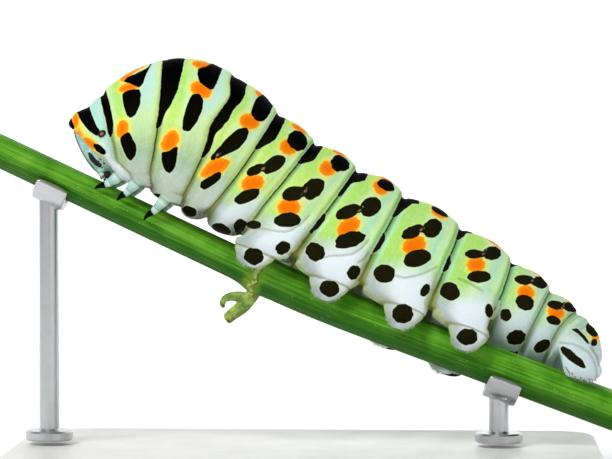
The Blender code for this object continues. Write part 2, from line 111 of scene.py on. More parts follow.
line_t = np.arange(LINE_FROM, LINE_TO, LINE_STEP)
line_x = np.cumsum(np.cos(slope_at(line_t))) * LINE_STEP
line_z = -np.cumsum(np.sin(slope_at(line_t))) * LINE_STEP
line_x += STEM_START_X - np.interp(0.0, line_t, line_x)
line_z += STEM_START_Z - np.interp(0.0, line_t, line_z)


def on_stem(spots):
    """World points, in metres, of points (t, y, h) laid out along the stem."""
    t, y, h = np.asarray(spots, dtype=float).T
    x = np.interp(t, line_t, line_x) + h * np.sin(slope_at(t))
    z = np.interp(t, line_t, line_z) + h * np.cos(slope_at(t))
    return np.stack((x, y, z), axis=1) * MM


def rolled(spots):
    """The same points (t, y, h) after the body has rolled about the stem."""
    t, y, h = np.asarray(spots, dtype=float).T
    roll = roll_at(t)
    across = y * np.cos(roll) + h * np.sin(roll)
    return np.stack((t, across, h * np.cos(roll) - y * np.sin(roll)), axis=1)


def on_larva(spots):
    return on_stem(rolled(spots))


print("the stem falls", round(float(line_z[0] - line_z[-1]), 1), "mm along its length")

# %% [markdown]
# The body is thirteen soft segments between folds. Each fold is an oval ring, given by its point
# on the back, its point on the belly and half its width. Between two folds the skin swells out,
# steeply where the segment ends in its rear lip and gently where it comes out from under the lip
# before it, and that difference makes the segments overlap like pulled-up sleeves.

# %% The body's form
FOLDS = (
    ((3.50, 4.22), (7.80, 2.30), 2.30),
    ((4.75, 6.70), (8.05, 2.25), 3.00),
    ((7.75, 10.90), (10.40, 2.30), 4.10),
    ((12.70, 12.05), (13.05, 2.15), 4.55),
    ((16.75, 10.90), (15.15, 2.10), 4.35),
    ((20.05, 10.20), (17.90, 2.05), 4.15),
    ((23.95, 9.80), (22.10, 2.10), 3.95),
    ((28.10, 9.55), (27.20, 2.25), 3.70),
    ((32.80, 9.20), (32.50, 2.45), 3.40),
    ((37.15, 8.35), (37.15, 2.55), 2.95),
    ((40.55, 7.20), (39.90, 2.45), 2.50),
    ((43.00, 6.25), (41.75, 2.35), 2.15),
    ((44.15, 5.75), (42.60, 2.35), 1.90),
    ((45.50, 3.90), (45.10, 2.20), 1.25),
)
# Of each segment: how far the back swells, where it swells most, how far the belly swells
SWELLS = (
    (0.12, 0.35, 0.20),
    (0.52, 0.45, 0.20),
    (0.60, 0.50, 0.45),
    (0.45, 0.62, 0.68),
    (0.42, 0.60, 0.62),
    (0.60, 0.60, 0.30),
    (0.72, 0.64, 0.35),
    (0.66, 0.58, 0.40),
    (0.64, 0.64, 0.45),
    (0.64, 0.68, 0.62),
    (0.46, 0.66, 0.62),
    (0.22, 0.50, 0.55),
    (0.40, 0.45, 0.35),
)
# How far each fold bows to the rear on the flanks, and where the chest's last fold weaves to and
# fro: angle in degrees, spread and how far
FOLD_BOWS = np.array((0.2, 0.3, 0.5, 0.6, 0.5, 0.36, 0.32, 0.26, 0.2, 0.1, 0.05, -0.3, 0.0, 0.0))
WEAVING_FOLD, WEAVES = 3, ((50.0, 13.0, 0.34), (82.0, 11.0, -0.26))
FLANK_SWELL = 0.42
COLLAR_BOW = 0.12
# How square the lower half is: plain, and over the prolegs, where the flanks come straight down
BELLY_POWERS, FLANK_POWERS = (0.80, 0.62), (0.85, 0.62)
PROLEGS_FROM, PROLEGS_TO = (4.9, 5.3), (9.1, 8.7)
# How steep the swell starts and ends: back, flank, belly, and the collar's back
BACK_STEEP, FLANK_STEEP, BELLY_STEEP, COLLAR_STEEP = 0.75, 0.6, 0.7, 0.3
# How far each segment's rear lip reaches back over the next one, and from where to where
LIP, LIP_FROM, LIP_FULL, COLLAR_LIP = 0.16, 0.62, 0.93, 0.3
# The collar behind the head has a raised front rim and a shallow saddle behind it
RIM_BUMP, SADDLE_DIP, REAR_BUMP = (0.22, 0.20, 0.13), (-0.14, 0.60, 0.12), (0.10, 0.82, 0.10)
SEGMENTS = len(SWELLS)
backs, bellies = (np.array([fold[i] for fold in FOLDS]) for i in (0, 1))
half_widths = np.array([fold[2] for fold in FOLDS])
back_swells, crests, belly_swells = np.array(SWELLS).T


def swell_at(segment, share, angle):
    """How far the skin stands out between two folds: back, flank and belly in their own ways."""
    skew = np.log(0.5) / np.log(crests[segment])
    inside = np.clip(share, 0.0, 1.0)
    back = back_swells[segment] * np.clip(np.sin(np.pi * inside**skew), 0.0, 1.0) ** BACK_STEEP
    collar = sum(high * bell(inside - at, wide) for high, at, wide in (RIM_BUMP, SADDLE_DIP, REAR_BUMP))
    back = np.where(segment == 0, collar * np.sin(np.pi * inside) ** COLLAR_STEEP, back)
    arch = np.clip(np.sin(np.pi * inside), 0.0, 1.0)
    flank = FLANK_SWELL * arch**FLANK_STEEP
    belly = belly_swells[segment] * arch**BELLY_STEEP
    up, side = np.cos(angle), np.sin(angle)
    return np.where(up > 0.0, back, belly) * up * up + flank * side * side


def unit(ways):
    return ways / np.linalg.norm(ways, axis=-1, keepdims=True)


def fold_ring(fold, up, side):
    """Points (t, y, h) on folds, from the shares of their half height and half width."""
    t, h = ((backs[fold] + bellies[fold]) / 2.0 + (backs[fold] - bellies[fold]) / 2.0 * up[:, None]).T
    turn = np.degrees(np.arctan2(np.abs(side), up))
    weave = sum(far * bell(turn - at, spread) for at, spread, far in WEAVES)
    t = t + FOLD_BOWS[fold] * side * side + np.where(fold == WEAVING_FOLD, weave, 0.0)
    return np.stack((t, -half_widths[fold] * side, h), axis=1)


def skin_at(place, angle):
    """Points (t, y, h) of the skin. place counts segments from the collar's rim to the tail, and
    the angle is 0 on the back and grows round the left flank."""
    segment = np.clip(np.floor(place).astype(int), 0, SEGMENTS - 1)
    share = place - segment
    up, side = np.cos(angle), np.sin(angle)
    low = up < 0.0
    full = ease(*PROLEGS_FROM, place) * ease(*PROLEGS_TO, place)
    up = np.where(low, -(np.abs(up) ** mix(*BELLY_POWERS, full)), up)
    side = np.where(low, np.sign(side) * np.abs(side) ** mix(*FLANK_POWERS, full), side)
    front, rear = fold_ring(segment, up, side), fold_ring(segment + 1, up, side)
    tall = backs - bellies
    rise = unit(mix(tall[segment], tall[segment + 1], share[:, None]))
    out = np.stack((rise[:, 0] * up, -side, rise[:, 1] * up), axis=1)
    ahead = np.stack((-rise[:, 1], np.zeros(len(rise)), rise[:, 0]), axis=1)
    bow = np.where(segment == 0, COLLAR_BOW * side * side * (1.0 - share), 0.0)
    lip = LIP * ease(LIP_FROM, LIP_FULL, share) * ease(1.0, LIP_FULL, share)
    lip = lip * np.where(segment == 0, COLLAR_LIP, 1.0)
    spots = mix(front, rear, share[:, None]) + out * swell_at(segment, share, angle)[:, None]
    return spots + ahead * bow[:, None] + unit(rear - front) * lip[:, None]


steps = np.linspace(0.0, SEGMENTS, 200)
back_line = skin_at(steps, np.zeros(len(steps)))
print("the body is", round(float(np.ptp(back_line[:, 0])), 1), "mm long on its back")

# %% [markdown]
# Every soft form here starts as a flat grid that is rolled up to a tube: the grid's long way
# becomes the way along the limb and its short way goes once round. The seam is merged and both
# ends are closed, as one would do by hand. Each corner also remembers where on the body it lies,
# in attributes, because the markings need that later. The first tools serve every piece, and the
# next ones roll a sheet.

# %% Tools for pieces
# How near corners have to be to merge, in the units of the sheet: the body's and the stand's
# sheets, a limb's, a ball's, and last any piece's once it is posed and so in metres
WELD, LIMB_WELD, BALL_WELD, POSED_WELD = 1e-6, 1e-4, 1e-5, 1e-7


def corners(piece):
    spots = np.empty(len(piece.data.vertices) * 3)
    piece.data.vertices.foreach_get("co", spots)
    return spots.reshape(-1, 3)


def shape(piece, spots):
    piece.data.vertices.foreach_set("co", np.asarray(spots, dtype=float).ravel())
    piece.data.update()


def note(piece, name, values):
    """Keeps one number for every corner of a piece."""
    kept = piece.data.attributes.get(name) or piece.data.attributes.new(name, "FLOAT", "POINT")
    kept.data.foreach_set("value", np.asarray(values, dtype=np.float32))


def noted(piece, name):
    values = np.empty(len(piece.data.vertices), dtype=np.float32)
    piece.data.attributes[name].data.foreach_get("value", values)
    return values.astype(float)


def only(*pieces):
    """Selects these pieces and nothing else; the first one is the active one."""
    bpy.ops.object.select_all(action="DESELECT")
    for piece in pieces:
        piece.select_set(True)
    bpy.context.view_layer.objects.active = pieces[0]


def newly_made(name, add, **sizes):
    """Adds a primitive by its operator, alone in the selection, and names it."""
    bpy.ops.object.select_all(action="DESELECT")
    add(**sizes)
    piece = bpy.context.object
    piece.name = piece.data.name = name
    return piece


def changed(piece, kind, **settings):
    """Gives a piece a modifier of this kind with these settings and applies it."""
    only(piece)
    change = piece.modifiers.new(kind.lower(), kind)
    for word, value in settings.items():
        setattr(change, word, value)
    bpy.ops.object.modifier_apply(modifier=change.name)


def close_up(piece, weld):
    """Merges the seam of a rolled sheet, closes its ends and turns its faces outwards."""
    only(piece)
    bpy.ops.object.mode_set(mode="EDIT")
    bpy.ops.mesh.select_all(action="SELECT")
    bpy.ops.mesh.remove_doubles(threshold=weld)
    bpy.ops.mesh.fill_holes(sides=0)
    bpy.ops.mesh.select_all(action="SELECT")
    bpy.ops.mesh.normals_make_consistent(inside=False)
    bpy.ops.object.mode_set(mode="OBJECT")
    bpy.ops.object.shade_smooth()


print("the tools for pieces are ready")


# %% Rolling up a sheet
def rolled_sheet(name, along, around, place, weld=WELD, notes=None):
    """A closed tube. place turns the share along and the angle round into points, and notes
    turns them into numbers that the corners remember."""
    grid = bpy.ops.mesh.primitive_grid_add
    piece = newly_made(name, grid, x_subdivisions=along, y_subdivisions=around, size=2.0)
    flat = corners(piece)
    share, angle = (flat[:, 0] + 1.0) / 2.0, (flat[:, 1] + 1.0) * np.pi
    shape(piece, place(share, angle))
    for word, values in (notes(share, angle) if notes else {}).items():
        note(piece, word, values)
    close_up(piece, weld)
    return piece


def flow(rows, share):
    """A smooth run through rows of values, from the first row at 0 to the last at 1."""
    rows = np.asarray(rows, dtype=float)
    rows = np.vstack((2.0 * rows[0] - rows[1], rows, 2.0 * rows[-1] - rows[-2]))
    place = np.clip(share, 0.0, 1.0) * (len(rows) - 3)
    first = np.minimum(place.astype(int), len(rows) - 4)
    f = (place - first)[:, None]
    a, b, c, d = (rows[first + i] for i in range(4))
    curve = (2.0 * a - 5.0 * b + 4.0 * c - d) * f**2 + (3.0 * (b - c) + d - a) * f**3
    return 0.5 * (2.0 * b + (c - a) * f + curve)


def oval_tube(rows, share, angle, lie):
    """Points of a tube with oval rings. A row holds the middle of a ring, half its width the way
    that lie points, and half its thickness."""
    here = flow(rows, share)
    way = unit(flow(rows, share + 0.01)[:, :3] - flow(rows, share - 0.01)[:, :3])
    lie = unit(np.asarray(lie) - way * (way @ np.asarray(lie))[:, None])
    thick = np.cross(way, lie)
    wide = lie * here[:, 3:4] * np.cos(angle)[:, None]
    return here[:, :3] + wide + thick * here[:, 4:5] * np.sin(angle)[:, None]


def limb_tube(name, along, around, rows, lie, weld=LIMB_WELD, notes=None):
    """A closed oval tube through rows of rings."""
    return rolled_sheet(name, along, around, lambda s, a: oval_tube(rows, s, a, lie), weld, notes)


def reach_note(share, angle):
    return {"reach": share}


print("the tools for rolled sheets are ready")

# %% [markdown]
# The body's sheet runs from inside the collar, over its rounded rim, along all thirteen segments
# and over the tail's dome. Its rows lie closest at the folds, where the form turns fastest. It
# is still unrolled and straight, in millimetres.

# %% The body's sheet
ROWS_EACH, BODY_AROUND = 22, 168
RIM_THICK_BACK, RIM_THICK_SIDE, DISH_DEPTH = 0.40, 0.20, 1.1
TAIL_DOME = 0.35
RIM_TURNS, DOME_TURNS = (180, 150, 120, 90, 60, 30), (15, 30, 45, 60, 75, 86)

spread = (1.0 - np.cos(np.pi * np.arange(ROWS_EACH) / ROWS_EACH)) / 2.0
one_segment = 0.25 * np.arange(ROWS_EACH) / ROWS_EACH + 0.75 * spread
segment_rows = np.concatenate([k + one_segment for k in range(SEGMENTS)])
row_place = np.concatenate((np.zeros(8), segment_rows, np.full(7, SEGMENTS - 1e-6)))
row_rim = np.radians(np.concatenate(((180, 180), RIM_TURNS, np.zeros(len(segment_rows) + 7))))
row_dish = np.concatenate(((DISH_DEPTH, 0.4), np.zeros(len(row_place) - 2)))
row_dome = np.radians(np.concatenate((np.zeros(9 + len(segment_rows)), DOME_TURNS)))


def ring_axes(fold):
    """The way up a fold's ring and the way forwards out of it, as (t, y, h)."""
    rise = unit(backs[fold] - bellies[fold])
    return np.array((rise[0], 0.0, rise[1])), np.array((-rise[1], 0.0, rise[0]))


def body_points(share, angle):
    row = np.rint(share * (len(row_place) - 1)).astype(int)
    spots = skin_at(row_place[row], angle)
    up, ahead = ring_axes(0)
    thick = mix(RIM_THICK_SIDE, RIM_THICK_BACK, np.clip(np.cos(angle), 0.0, 1.0) ** 2)[:, None]
    out = unit(up * np.cos(angle)[:, None] - np.array((0.0, 1.0, 0.0)) * np.sin(angle)[:, None])
    rim = row_rim[row][:, None]
    rounded = out * thick * (np.cos(rim) - 1.0) + ahead * thick * np.sin(rim)
    spots = np.where(rim > 0.0, spots + rounded - ahead * row_dish[row][:, None], spots)
    up, ahead = ring_axes(SEGMENTS)
    middle = (backs[-1] + bellies[-1]) / 2.0
    middle = np.array((middle[0], 0.0, middle[1]))
    dome = row_dome[row][:, None]
    domed = middle + (spots - middle) * np.cos(dome) - ahead * TAIL_DOME * np.sin(dome)
    return np.where(dome > 0.0, domed, spots)


def body_notes(share, angle):
    row = np.rint(share * (len(row_place) - 1)).astype(int)
    folded, zeros = np.minimum(angle, 2.0 * np.pi - angle), np.zeros(len(row))
    return {"place": row_place[row], "angle": folded, "limb": zeros, "reach": zeros}


body = rolled_sheet("larva_skin", len(row_place) - 1, BODY_AROUND, body_points, notes=body_notes)
print("the body's sheet has", len(body.data.vertices), "corners")

# %% [markdown]
# The larva walks on three pairs of jointed legs under its chest, four pairs of fleshy prolegs
# under its middle and one pair at its tail. A proleg is a plump white cushion with a deep crease
# above a small foot that grips the stem. The chest's legs stand on soft bulges. All of these are
# rolled sheets too, sunk into the body.

# %% The prolegs and the soft roots of the legs
PROLEGS = ((3, 19.65, -0.12), (4, 25.45, -0.50), (5, 31.10, -0.85), (6, 35.90, -0.90))
RIGHT_FORWARD, RIGHT_HIGHER = 0.60, 0.30
# From root to sole: share of the foot's own form, share of the flank's width, share of the drop,
# then how far out the foot is, half its length and half its thickness
PROLEG_ROWS = (
    (0.00, 0.88, -0.18, 2.7, 1.6, 0.8),
    (0.00, 0.95, -0.06, 2.7, 1.6, 0.8),
    (0.00, 0.99, 0.06, 2.7, 1.6, 0.8),
    (0.00, 1.00, 0.20, 2.7, 1.6, 0.8),
    (0.00, 0.98, 0.34, 2.7, 1.6, 0.8),
    (0.00, 0.95, 0.48, 2.7, 1.6, 0.8),
    (0.10, 0.92, 0.60, 2.70, 1.62, 0.80),
    (0.50, 0.88, 0.69, 2.68, 1.62, 0.74),
    (0.95, 0.86, 0.76, 2.64, 1.54, 0.68),
    (1.00, 0.86, 0.82, 2.68, 1.42, 0.74),
    (1.00, 0.86, 0.89, 2.58, 1.20, 0.70),
    (1.00, 0.86, 0.95, 2.34, 0.88, 0.52),
    (1.00, 0.86, 1.00, 2.08, 0.42, 0.26),
    (1.00, 0.86, 1.01, 2.02, 0.04, 0.04),
)
CUSHION_SQUARE, CUSHION_INSIDE, WIDEST = 0.42, 1.55, math.radians(98.0)
PROLEG_ROOT_H = 4.1
# The angles round the body that a limb's root and its sole stand for
LIMB_ANGLES, PROLEG_ANGLES = np.radians((120.0, 165.0)), np.radians((104.0, 165.0))
ANAL_ROWS = (
    (42.75, 1.75, 3.30, 0.62, 0.62),
    (43.10, 1.95, 2.75, 1.05, 0.78),
    (43.75, 2.00, 2.10, 1.30, 0.80),
    (44.20, 1.98, 1.45, 1.38, 0.74),
    (44.55, 1.88, 0.95, 1.34, 0.64),
    (44.70, 1.74, 0.66, 1.12, 0.46),
    (44.74, 1.64, 0.56, 0.70, 0.24),
    (44.75, 1.60, 0.54, 0.05, 0.04),
)
LEGS = (
    ((8.80, 1.50, 2.90), (8.62, 1.90, 1.58), (7.35, 1.44, 0.42)),
    ((10.05, 1.70, 3.20), (9.90, 2.10, 1.66), (9.18, 1.46, 0.34)),
    ((12.45, 1.80, 2.90), (12.25, 2.20, 1.45), (11.50, 1.50, -0.10)),
)
# From root to end of a leg's soft root: share of the way to the knee, half length, half thickness
LEG_ROOT_FORM = (
    (0.0, 1.25, 0.9), (0.25, 1.18, 0.88), (0.45, 0.95, 0.76), (0.60, 0.68, 0.60), (0.70, 0.28, 0.25),
)
LIMB_ROWS, LIMB_AROUND = 48, 56
ALONG_STEM = (1.0, 0.0, 0.0)


def soft_limb(name, rows, segment):
    """A fleshy limb as a closed sheet that remembers its segment and the share of its reach."""

    def notes(share, angle):
        ones, low = np.ones(len(share)), mix(*LIMB_ANGLES, share)
        return {"place": ones * (segment + 0.5), "angle": low, "limb": ones, "reach": share}

    return limb_tube(name, LIMB_ROWS, LIMB_AROUND, rows, ALONG_STEM, WELD, notes)


def squared(part, power):
    return np.sign(part) * np.abs(part) ** power


def fold_line(fold, h):
    """Where a fold's plane, drawn on below the belly, crosses these heights."""
    rise = (h - bellies[fold, 1]) / (backs[fold, 1] - bellies[fold, 1])
    return mix(bellies[fold, 0], backs[fold, 0], rise) + FOLD_BOWS[fold]


def proleg(segment, side, at, sole):
    """A cushion from fold to fold, flush with the flank above it, that ends in a small foot."""

    def form(share, angle):
        over, flank, drop, y, long, thick = flow(PROLEG_ROWS, share).T
        over, h = np.clip(over, 0.0, 1.0), mix(PROLEG_ROOT_H, sole, drop)
        power = mix(CUSHION_SQUARE, 1.0, over)
        ahead, out = squared(np.cos(angle), power), squared(np.sin(angle), power)
        return over, flank, h, at + ahead * long, y + out * thick, ahead, out

    def place(share, angle):
        over, flank, h, foot_t, foot_y, ahead, out = form(share, angle)
        t = mix(fold_line(segment, h), fold_line(segment + 1, h), (1.0 + ahead) / 2.0)
        inside = np.clip((1.0 + ahead) / 2.0, 0.02, 0.98)
        wide = np.abs(skin_at(segment + inside, np.full(len(h), WIDEST))[:, 1]) * flank
        y = mix(CUSHION_INSIDE, wide, (1.0 + out) / 2.0)
        return np.column_stack((mix(t, foot_t, over), side * mix(y, foot_y, over), h))

    def notes(share, angle):
        inside = np.clip((1.0 + form(share, angle)[5]) / 2.0, 0.001, 0.999)
        ones, low = np.ones(len(share)), mix(*PROLEG_ANGLES, share)
        return {"place": segment + inside, "angle": low, "limb": ones, "reach": share}

    return rolled_sheet("proleg", LIMB_ROWS, 2 * LIMB_AROUND, place, notes=notes)


limbs = []
for side in (-1.0, 1.0):
    for number, at, sole in PROLEGS:
        at -= RIGHT_FORWARD * (side > 0.0)
        sole += RIGHT_HIGHER * (side > 0.0)
        limbs.append(proleg(number + 2, side, at, sole))
    rows = [(t, side * y, h, long, thick) for t, y, h, long, thick in ANAL_ROWS]
    limbs.append(soft_limb("anal_proleg", rows, SEGMENTS - 2))
    for number, (root, knee, _) in enumerate(LEGS):
        root, knee = (np.array((t, side * y, h)) for t, y, h in (root, knee))
        rows = [(*mix(root, knee, share), long, thick) for share, long, thick in LEG_ROOT_FORM]
        limbs.append(soft_limb("leg_root", rows, number))
print("soft limbs:", len(limbs))

# %% [markdown]
# The body and the limbs are joined and remeshed as one volume, because that melts them together
# the way soft flesh does. Smoothing afterwards takes the remesh's steps away. The joined sheets
# stay in memory as a tree that finds, for every corner of the new skin, where on the body it is.
# A closed end is one face with many corners, of which the first will do.

# %% One skin
GRAIN = 0.136
SMOOTHING = 4

only(body, *limbs)
bpy.ops.object.join()
skin = body
spots, order = corners(skin), [list(face.vertices) for face in skin.data.polygons]
tree = BVHTree.FromPolygons(spots.tolist(), order)
known = {word: noted(skin, word) for word in ("place", "angle", "limb", "reach")}
changed(skin, "REMESH", mode="VOXEL", voxel_size=GRAIN)
changed(skin, "SMOOTH", factor=0.5, iterations=SMOOTHING)
bpy.ops.object.shade_smooth()
print("the skin has", len(skin.data.vertices), "corners")

# %% Where every corner lies
def look_up(points):
    """Of each point: what the nearest face of the sheets remembers."""
    found = {word: np.empty(len(points)) for word in known}
    for i, point in enumerate(points):
        near, _, face, _ = tree.find_nearest(point)
        ring = order[face]
        if len(ring) > 4:
            ring = ring[:1]
        weight = 1.0 / (np.linalg.norm(spots[ring] - np.array(near), axis=1) + 1e-6)
        weight /= weight.sum()
        for word, values in known.items():
            found[word][i] = values[ring] @ weight
    return found


flat_spots = corners(skin)
found = look_up(flat_spots.tolist())
print("places found from", round(found["place"].min(), 2), "to", round(found["place"].max(), 2))

# %% [markdown]
# Where two segments meet, the front of each one goes in under the lip of the one before it, and
# on the lower flank a few fine pleats run beside each fold. The remesh rounds these off, so the
# corners near a fold are now pulled in along their normals. Then the hollows are measured all
# over, because the paint darkens every crease with olive painted shade.

# %% Folds, pleats and hollows
JUNCTION_ROUNDS, PLACE_ROUNDS, HOLLOW_ROUNDS = 14, 5, 8
FOLD_DEPTH, FOLD_AFTER, FOLD_WIDE, FOLD_ROUNDS = 0.27, 0.09, 0.25, 2
# The share of that depth on the back, at the chest's folds and at the others, and the angles
# between which it grows to the full depth
BACK_SHARES, BACK_ANGLES = (0.15, 0.55), (75.0, 45.0)
FOOT_FROM, FOOT_FULL = 0.48, 0.56
ANKLE_AT, ANKLE_DEPTH, ANKLE_WIDE = 0.62, 0.07, 0.035
PLEATS, PLEAT_DEPTH, PLEAT_WIDE = (0.34, 0.60, 0.84), 0.035, 0.07
PLEATS_AT, PLEATS_SPREAD = 108.0, 16.0
RING_CREASES, RING_DEPTH, RING_WIDE, RINGS_TO = (0.30, 0.78), 0.035, 0.05, 110.0
# A distance that no mark or fold reaches over
FAR_OFF = 9.0
# Creases of the flanks and the tail as they show from the side: t and height along each
CREASES = (
    ((18.35, 2.58), (19.28, 3.04), (20.24, 3.25), (20.93, 3.48), (21.32, 3.78), (21.73, 4.43), (22.08, 5.24)),
    ((24.11, 2.70), (24.72, 3.12), (25.47, 3.41), (26.19, 3.80), (26.66, 4.39), (26.96, 5.17)),
    ((26.82, 3.34), (27.16, 3.80), (27.32, 4.28)),
    ((29.55, 3.37), (30.37, 3.48), (31.14, 3.96), (31.72, 4.46), (32.26, 5.04)),
    ((33.97, 4.81), (34.84, 4.76), (35.87, 4.56)),
    ((43.22, 5.41), (42.85, 5.20), (42.62, 4.90), (42.48, 4.60)),
    (
        (42.25, 2.98), (42.62, 3.11), (43.19, 3.26), (43.89, 3.24),
        (44.49, 3.11), (44.89, 2.78), (45.36, 2.26), (45.76, 1.37),
    ),
    ((44.55, 3.42), (45.05, 3.10), (45.50, 2.50)),
)
CREASE_DEPTH, CREASE_WIDE = 0.08, 0.15
# Heights were measured from the stem's straight upper half, and its lower half bends up from it
BEND_RISE, SEEN_ROUNDS = 0.235, 6


def normals(piece):
    ways = np.empty(len(piece.data.vertices) * 3)
    piece.data.vertex_normals.foreach_get("vector", ways)
    return ways.reshape(-1, 3)


edges = np.empty(len(skin.data.edges) * 2, dtype=int)
skin.data.edges.foreach_get("vertices", edges)
edges = edges.reshape(-1, 2)
count = np.bincount(edges.ravel(), minlength=len(flat_spots))


def neighbours_mean(values):
    """Of each corner: the mean of the values at the corners next to it."""
    total = np.zeros_like(values)
    np.add.at(total, edges[:, 0], values[edges[:, 1]])
    np.add.at(total, edges[:, 1], values[edges[:, 0]])
    return total / (count[:, None] if values.ndim > 1 else count)


def seen_at(spots_here):
    """Where points, mirrored to the left, show in the view: along the stem and above it."""
    spots_here = spots_here * (1.0, 0.0, 1.0) - np.abs(spots_here) * (0.0, 1.0, 0.0)
    t = spots_here[:, 0]
    x, y, z = (on_larva(spots_here) / MM).T
    eye = np.array(camera.location) / MM
    nearer = eye[1] / (eye[1] - y)
    x, z = eye[0] + (x - eye[0]) * nearer, eye[2] + (z - eye[2]) * nearer
    for _ in range(SEEN_ROUNDS):
        right, above = x - np.interp(t, line_t, line_x), z - np.interp(t, line_t, line_z)
        slope = slope_at(t)
        t = t + right * np.cos(slope) - above * np.sin(slope)
    bent_up = BEND_RISE * ease(STEM_BEND_FROM, STEM_BEND_TO, t)
    return t, right * np.sin(slope) + above * np.cos(slope) - bent_up


def off_line(u, v, line):
    """The distance of points from a line of straight pieces."""
    closest = np.full(len(u), FAR_OFF)
    for (ax, ay), (bx, by) in zip(line, line[1:]):
        long, high = bx - ax, by - ay
        along = np.clip(((u - ax) * long + (v - ay) * high) / (long**2 + high**2), 0.0, 1.0)
        closest = np.minimum(closest, np.hypot(u - ax - along * long, v - ay - along * high))
    return closest


def soften_near(share_here, rounds):
    """Smooths the skin most where the share is one half, and not at all where it is 0 or 1."""
    weight = (4.0 * share_here * (1.0 - share_here))[:, None]
    spots_here = flat_spots
    for _ in range(rounds):
        spots_here = mix(spots_here, neighbours_mean(spots_here), weight)
    return spots_here


place, angle, limb, reach = (found[word] for word in ("place", "angle", "limb", "reach"))
for _ in range(PLACE_ROUNDS):
    place, angle = neighbours_mean(place), neighbours_mean(angle)
joined = limb.copy()
for _ in range(JUNCTION_ROUNDS):
    joined = neighbours_mean(joined)
flat_spots = soften_near(joined, JUNCTION_ROUNDS)
shape(skin, flat_spots)
segment = np.clip(place.astype(int), 0, SEGMENTS - 1)
share = np.clip(place - segment, 0.0, 1.0)
up, side = np.cos(angle), np.sin(angle)
length = np.linalg.norm(fold_ring(segment + 1, up, side) - fold_ring(segment, up, side), axis=1)
behind, before = share * length, (1.0 - share) * length
behind[segment == 0] = FAR_OFF
before[segment == SEGMENTS - 1] = FAR_OFF
on_limb, on_body = limb > 0.5, limb < 0.5
on_foot = np.where(reach > 0.01, ease(FOOT_FROM, FOOT_FULL, reach), 0.0)
without_fold = (segment == SEGMENTS - 1) + 1.0 * (on_limb & ((segment > 8) | (segment < 4)))
to_fold = np.minimum(behind, before) + FAR_OFF * (on_foot + without_fold)
degrees = np.degrees(angle)

past_fold = np.where(behind < before, to_fold, -to_fold)
at_fold = np.rint(place)
on_back = mix(1.0, np.where((at_fold > 1) & (at_fold < 5), *BACK_SHARES), ease(*BACK_ANGLES, degrees))
sink = FOLD_DEPTH * on_back * bell(past_fold - FOLD_AFTER, FOLD_WIDE)
flank = bell(degrees - PLEATS_AT, PLEATS_SPREAD) * on_body * (segment > 2) * (segment < 8)
for away in PLEATS:
    sink += flank * PLEAT_DEPTH * bell(before - away, PLEAT_WIDE)
for at in RING_CREASES:
    sink += RING_DEPTH * bell(share - at, RING_WIDE) * on_body * (degrees < RINGS_TO)
seen = seen_at(flat_spots)
creases = bell(np.min([off_line(*seen, line) for line in CREASES], axis=0), CREASE_WIDE)
sink += CREASE_DEPTH * creases
ankle = bell(reach - ANKLE_AT, ANKLE_WIDE) * on_limb * (segment > 4) * (segment < 9)
sink += ANKLE_DEPTH * ankle
flat_spots = flat_spots - normals(skin) * sink[:, None]
near_fold = bell(to_fold, 1.5 * FOLD_WIDE)[:, None]
for _ in range(FOLD_ROUNDS):
    flat_spots = mix(flat_spots, neighbours_mean(flat_spots), 0.8 * near_fold)
shape(skin, flat_spots)

hollow = np.einsum("ij,ij->i", neighbours_mean(flat_spots) - flat_spots, normals(skin)) / GRAIN**2
for _ in range(HOLLOW_ROUNDS):
    hollow = mix(hollow, neighbours_mean(hollow), 0.7)
print("hollows from", round(float(hollow.min()), 2), "to", round(float(hollow.max()), 2), "per mm")

# %% [markdown]
# The larva's pattern is a row of deep black spots and bands with orange spots set into them, the
# same on both flanks. Each mark is an oval with an uneven edge or a short outline, in millimetres
# along the stem and above it as seen from the side. For every corner of the skin the distance to
# the nearest edge is kept, positive inside, and the paint reads it, so that an edge stays crisp
# between corners.

# %% The marks' tools
# The lowest value that a mark keeps, and how far skin has to face its side to show a mark
FAR, FACING = -1.5, 0.03
BLOB_POWER, BLOB_WOBBLE, BLOB_WAVES = 2.15, 0.042, (2, 3, 5, 9)
CORNER_CUT = 0.13
draw = np.random.default_rng(11)

roll = roll_at(flat_spots[:, 0])
flat_ways = normals(skin)
beside = np.sign(flat_spots[:, 1]) * flat_ways[:, 1]
facing = beside * np.cos(roll) - flat_ways[:, 2] * np.sin(roll)
seen_t, seen_h = seen_at(flat_spots)
marks = {word: np.full(len(flat_spots), FAR) for word in ("black", "orange")}


def paint(word, inside):
    marks[word] = np.maximum(marks[word], np.clip(inside, FAR, None))


def blob(across, along_it, half_long, half_wide, tilt):
    """The distance inside an uneven oval, in millimetres, of points given from its middle."""
    c, s = math.cos(math.radians(tilt)), math.sin(math.radians(tilt))
    a, b = (across * c + along_it * s) / half_long, (along_it * c - across * s) / half_wide
    bearing = np.arctan2(b, a)
    wobble = 1.0
    for waves in BLOB_WAVES:
        size = draw.uniform(-BLOB_WOBBLE, BLOB_WOBBLE)
        wobble = wobble + size * np.cos(waves * bearing + draw.uniform(0.0, 6.28))
    far = (np.abs(a) ** BLOB_POWER + np.abs(b) ** BLOB_POWER) ** (1.0 / BLOB_POWER) + 1e-6
    return (wobble - far) * np.hypot(across, along_it) / far


def rounded_off(outline):
    """An outline with its corners cut off twice."""
    points = np.array(outline)
    for _ in range(2):
        after = np.roll(points, -1, axis=0)
        cuts = mix(points, after, CORNER_CUT), mix(points, after, 1.0 - CORNER_CUT)
        points = np.stack(cuts, axis=1).reshape(-1, 2)
    return points


